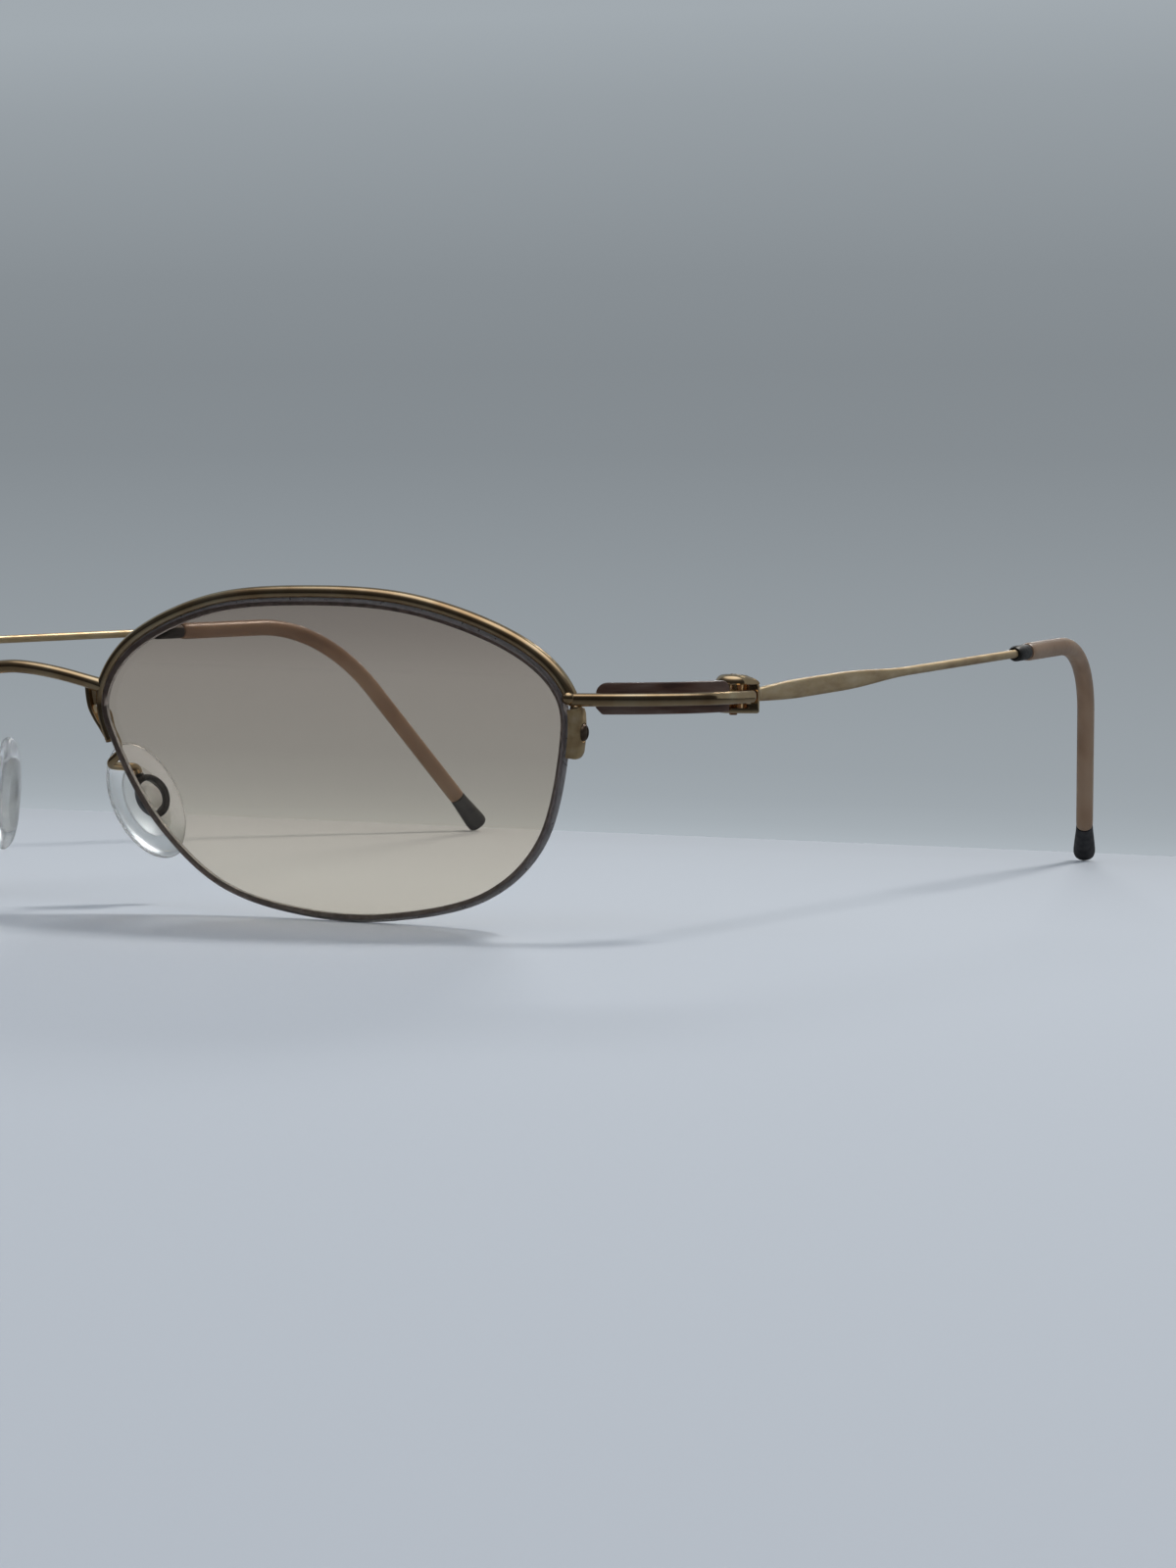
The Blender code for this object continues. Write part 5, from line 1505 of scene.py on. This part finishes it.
def temple_place(distance):
    """Point and direction on the temple at a distance from its front end along the wire."""
    beyond = distance - TEMPLE_STRAIGHT
    if beyond <= 0.0:
        return TEMPLE_FRONT + TEMPLE_DIRECTION * distance, TEMPLE_DIRECTION
    turn = min(beyond / TIP_BEND_RADIUS, TIP_BEND)
    direction = TEMPLE_DIRECTION * math.cos(turn) + TIP_DIRECTION * math.sin(turn)
    place = TEMPLE_FRONT + TEMPLE_DIRECTION * (TEMPLE_STRAIGHT + TIP_BEND_RADIUS * math.sin(turn))
    place += TIP_DIRECTION * TIP_BEND_RADIUS * (1.0 - math.cos(turn))
    return place + direction * max(0.0, beyond - TIP_BEND_RADIUS * TIP_BEND), direction


def temple_length():
    """Distance along the temple at which the end of the tip's cap stands on the table."""
    start = TEMPLE_STRAIGHT + TIP_BEND_RADIUS * TIP_BEND
    place, direction = temple_place(start)
    lowest = place.z - CAP_DIAMETER / 2.0 * CAP_END_WIDTH * math.sqrt(1.0 - direction.z ** 2)
    return start + (-STAND.z - lowest) / direction.z


TEMPLE_LENGTH = temple_length()


def leaf_height(distance):
    """Height of the flattened part, swelling behind the hinge and thinning to the wire."""
    if distance < LEAF_WIDEST:
        share = distance / LEAF_WIDEST
        return LEAF_START_HEIGHT + (LEAF_HEIGHT - LEAF_START_HEIGHT) * math.sin(share * QUARTER_TURN)
    share = max(0.0, distance - LEAF_WIDEST - LEAF_FLAT) / (LEAF_END - LEAF_WIDEST - LEAF_FLAT)
    return WIRE_DIAMETER + (LEAF_HEIGHT - WIRE_DIAMETER) * (1.0 + math.cos(min(1.0, share) * math.pi)) / 2.0


def make_temple():
    side = TEMPLE_DIRECTION.cross(UP).normalized()
    rows = []
    for distance in places(0.0, LEAF_END, LEAF_STEPS) + places(LEAF_END, TEMPLE_LENGTH, TIP_STEPS)[1:]:
        place, direction = temple_place(distance)
        across = (side - direction * side.dot(direction)).normalized()
        share = min(1.0, max(0.0, distance - LEAF_TAPER) / (LEAF_END - LEAF_TAPER))
        width = LEAF_THICKNESS + (WIRE_DIAMETER - LEAF_THICKNESS) * share
        power = LEAF_POWER - (LEAF_POWER - WIRE_POWER) * share
        section = soft_section(width, leaf_height(distance), power, TEMPLE_SIDES)
        rows.append([place + across * a + across.cross(direction) * b for a, b in section])
    both_sides("temple", skin(rows, "temple", SATIN_GOLD), "temple")


make_temple()
print("temple length along the wire, mm:", round(TEMPLE_LENGTH * 1000, 1))

# %% [markdown]
# ## Tips
# A dark collar stops the amber sleeve, and the sleeve runs over the bend to a flared rubber cap. All three
# are round pieces threaded on the wire, so the wire tree draws them along the temple, with a swell at each
# point for the collar's step and the cap's flare. The wire's end shows in the middle of the cap.

# %% Tips
COLLAR_START = 0.0790
COLLAR_LENGTH = 0.0042
COLLAR_DIAMETER = 0.00160
SLEEVE_START = COLLAR_START + COLLAR_LENGTH + FIT
SLEEVE_DIAMETER = 0.00185
CAP_START = TEMPLE_LENGTH - CAP_LENGTH
COLLAR_SHAPE = [(0.0, 0.80), (0.05, 0.90), (0.12, 1.0), (0.5, 1.0), (0.94, 1.0), (1.0, 0.93)]
SLEEVE_STEPS = 70
SLEEVE_SHAPE = [(0.0, 0.90), (0.004, 0.97)] + [(k / SLEEVE_STEPS, 1.0) for k in range(1, SLEEVE_STEPS)]
SLEEVE_SHAPE += [(0.997, 0.98), (1.0, 0.92)]
THREADED_SIDES = 32
CAP_SHAPE = [
    (0.0, 0.77), (0.18, 0.81), (0.35, 0.87), (0.56, 0.94), (0.77, 1.0), (0.88, 1.0), (0.95, 0.94),
    (0.985, 0.80),
]


def make_threaded(stem, start, length, diameter, shape, material):
    """Round pieces on the temple wires: shape is (share of the length, share of the diameter)."""
    spots = [temple_place(start + length * share)[0] for share, _ in shape]
    swell = [width for _, width in shape]
    looks = path_looks(spots, TEMPLE_DIRECTION.cross(TIP_DIRECTION))
    mesh = wire(stem, spots, looks, round_section(diameter, THREADED_SIDES), material, swell)
    both_sides(stem, mesh, "temple")


make_threaded("temple_collar", COLLAR_START, COLLAR_LENGTH, COLLAR_DIAMETER, COLLAR_SHAPE,
              DARK_STEEL)
make_threaded("temple_sleeve", SLEEVE_START, CAP_START - FIT - SLEEVE_START, SLEEVE_DIAMETER, SLEEVE_SHAPE,
              AMBER)
make_threaded("tip_cap", CAP_START, CAP_LENGTH, CAP_DIAMETER, CAP_SHAPE, RUBBER)

# %% [markdown]
# ## Nose pads
# A pad is an oval of clear silicone, domed towards the nose, moulded round a cloudy core plate whose stud
# snaps into a ring on the wire arm. Pad and stud rock together in the ring. The domed side is skinned from
# ovals that follow a smooth profile.

# %% Nose pads
PAD_LENGTH = 0.0115
PAD_WIDTH = 0.0069
PAD_THICKNESS = 0.0020
PAD_MIDDLE = Vector((0.00825, 0.0080, -0.0047))
PAD_PROFILE = [
    (-0.60, 0.02), (-0.60, 0.30), (-0.56, 0.60), (-0.42, 0.84), (-0.18, 0.97), (0.05, 1.0), (0.28, 0.93),
    (0.40, 0.75),
]
PAD_LONG_WAY = Vector((0.30, 0.36, -0.88))
PAD_FACING = Vector((0.87, -0.49, 0.0))
PAD_BOX_WALL = 0.0006
PAD_BOX_HEIGHT = 0.0013
PAD_BOX_STANDOFF = 0.0006
PAD_BOX_RAISE = 0.0004
PAD_STUD_LENGTH = 0.0023
PAD_STUD_WIDTH = 0.0015
PAD_STUD_GAP = 0.00035
PAD_SIDES = 56
PAD_STEPS = 4


def pad_axes():
    """Long axis (downward), short axis and mount-side direction of the left pad."""
    long_axis = PAD_LONG_WAY.normalized()
    mount = (PAD_FACING - long_axis * PAD_FACING.dot(long_axis)).normalized()
    return long_axis, long_axis.cross(mount).normalized(), mount


PAD_LONG, PAD_SHORT, PAD_MOUNT = pad_axes()
PAD_FLAT = PAD_THICKNESS * PAD_PROFILE[-1][0]
PAD_BOX_LOW = PAD_FLAT + PAD_BOX_STANDOFF
PAD_BOX_MIDDLE = PAD_BOX_LOW + PAD_BOX_HEIGHT / 2.0
PAD_STUD_BASE = PAD_MIDDLE - PAD_LONG * PAD_BOX_RAISE
PAD_STUD_HALF = (PAD_STUD_WIDTH / 2.0, PAD_STUD_LENGTH / 2.0)
PAD_STUD_TOP = PAD_BOX_LOW + PAD_BOX_HEIGHT + GAP
PAD_PIVOT = PAD_STUD_BASE + PAD_MOUNT * PAD_BOX_MIDDLE
BOX_HOLE = (PAD_STUD_HALF[0] + PAD_STUD_GAP, PAD_STUD_HALF[1] + PAD_STUD_GAP)
CORE_PLATE = [
    (-0.00045, 0.0019, 0.0034), (-0.00035, 0.0021, 0.0036), (0.0001, 0.0021, 0.0036), (0.0002, 0.0019, 0.0034),
]
CORE_STUD = [
    (0.00025, 0.00078, 0.00118), (PAD_FLAT, *PAD_STUD_HALF), (PAD_STUD_TOP, *PAD_STUD_HALF),
    (PAD_STUD_TOP + 0.00012, 0.00066, 0.00106), (PAD_STUD_TOP + 0.0002, 0.00055, 0.00095),
]


def pad_oval(level, half_short, half_long, middle, count=PAD_SIDES):
    centre = middle + PAD_MOUNT * level
    return [centre + PAD_SHORT * half_short * math.cos(a) + PAD_LONG * half_long * math.sin(a)
            for a in circle_turns(count)]


def make_pad():
    rows = []
    for level, width in smooth_route([Vector(p) for p in PAD_PROFILE], PAD_STEPS):
        sizes = (PAD_WIDTH / 2.0 * width, PAD_LENGTH / 2.0 * width)
        rows.append(pad_oval(PAD_THICKNESS * level, *sizes, PAD_MIDDLE))
    both_sides("nose_pad", skin(rows, "pad", SILICONE), "pad")
    rows = [pad_oval(*ring, PAD_MIDDLE) for ring in CORE_PLATE]
    rows += [pad_oval(*ring, PAD_STUD_BASE) for ring in CORE_STUD]
    both_sides("pad_core", skin(rows, "core", PAD_CORE), "pad", False)


make_pad()

# %% [markdown]
# ## Pad rings and arms
# The ring that holds the stud is a small oval of blackened steel, drawn by the wire tree round a closed path.
# A gold wire arm is soldered to a lug on the ring's top. It loops back and up to the tab of the rim, and its
# loop lets the optician bend the pad to fit.

# %% Pad rings and arms
PAD_BOX_POWER = 4.0
PAD_ARM_DIAMETER = 0.0008
PAD_ARM_ROOT_LEVEL = 0.0036
PAD_ARM_ROOT_SHARE = 0.6
PAD_ARM_SINK = 0.0001
PAD_ARM_STEPS = 10
PAD_ARM_SIDES = 16
RING_STATIONS = 48
PAD_ARM_FIRST_STEP = 0.0007
PAD_ARM_LAST_STEP = 0.0006
PAD_ARM_FROM_TAB = [(0.0001, 0.0013, -0.0014), (0.0005, 0.0018, -0.0032)]
PAD_ARM_FROM_BOX = [(-0.0011, -0.0034, 0.0009), (-0.0004, -0.0020, 0.0006)]
RING_LUG_SIZES = (0.00045, 0.00050, 0.00040)
ARM_BEAD_SIZES = (0.00055, 0.00055, 0.00030)
BOX_TOP = PAD_PIVOT - PAD_LONG * (BOX_HOLE[1] + PAD_BOX_WALL)


def pad_arm_route():
    point, _, outward, forward = edge_frame(edge_at_level(PAD_ARM_ROOT_LEVEL, *NOSE_SPAN))
    depth = RIM_DEPTH / 2.0 - PAD_ARM_SINK
    root = point + outward * (GAP + TAB_HEIGHT * PAD_ARM_ROOT_SHARE) - forward * depth
    points = [root, root - forward * (PAD_ARM_FIRST_STEP + GAP)]
    points += [root - forward * GAP + Vector(step) for step in PAD_ARM_FROM_TAB]
    points += [BOX_TOP - PAD_LONG * GAP + Vector(step) for step in PAD_ARM_FROM_BOX]
    return points + [BOX_TOP - PAD_LONG * (PAD_ARM_LAST_STEP + GAP), BOX_TOP + PAD_LONG * PAD_ARM_SINK]


def ring_mesh():
    """The oval ring, whose section looks outward from its middle all the way round."""
    halves = [half + PAD_BOX_WALL / 2.0 for half in BOX_HOLE]
    path = pad_oval(PAD_BOX_MIDDLE, *halves, PAD_STUD_BASE, RING_STATIONS)
    looks = []
    for point, look in zip(path, path_looks(path, PAD_MOUNT, True)):
        arm = point - PAD_PIVOT
        looks.append((arm - look * arm.dot(look)).normalized())
    section = soft_section(PAD_BOX_WALL, PAD_BOX_HEIGHT, PAD_BOX_POWER)
    return wire("ring", path, looks, section, DARK_STEEL, closed=True)


def make_ring_and_arm():
    lug = beads("ring_lug", [(BOX_TOP, PAD_LONG, PAD_SHORT, RING_LUG_SIZES)], DARK_STEEL)
    both_sides("pad_box", joined("pad_box", DARK_STEEL, ring_mesh(), lug), "front")
    route = smooth_route(pad_arm_route(), PAD_ARM_STEPS)
    section = round_section(PAD_ARM_DIAMETER, PAD_ARM_SIDES)
    arm = wire("arm", route, path_looks(route, PAD_SHORT), section, GOLD)
    way = (route[1] - route[0]).normalized()
    drop = beads("arm_solder", [(route[0], way, UP, ARM_BEAD_SIZES)], GOLD)
    both_sides("pad_arm", joined("pad_arm", GOLD, arm, drop), "front")


make_ring_and_arm()
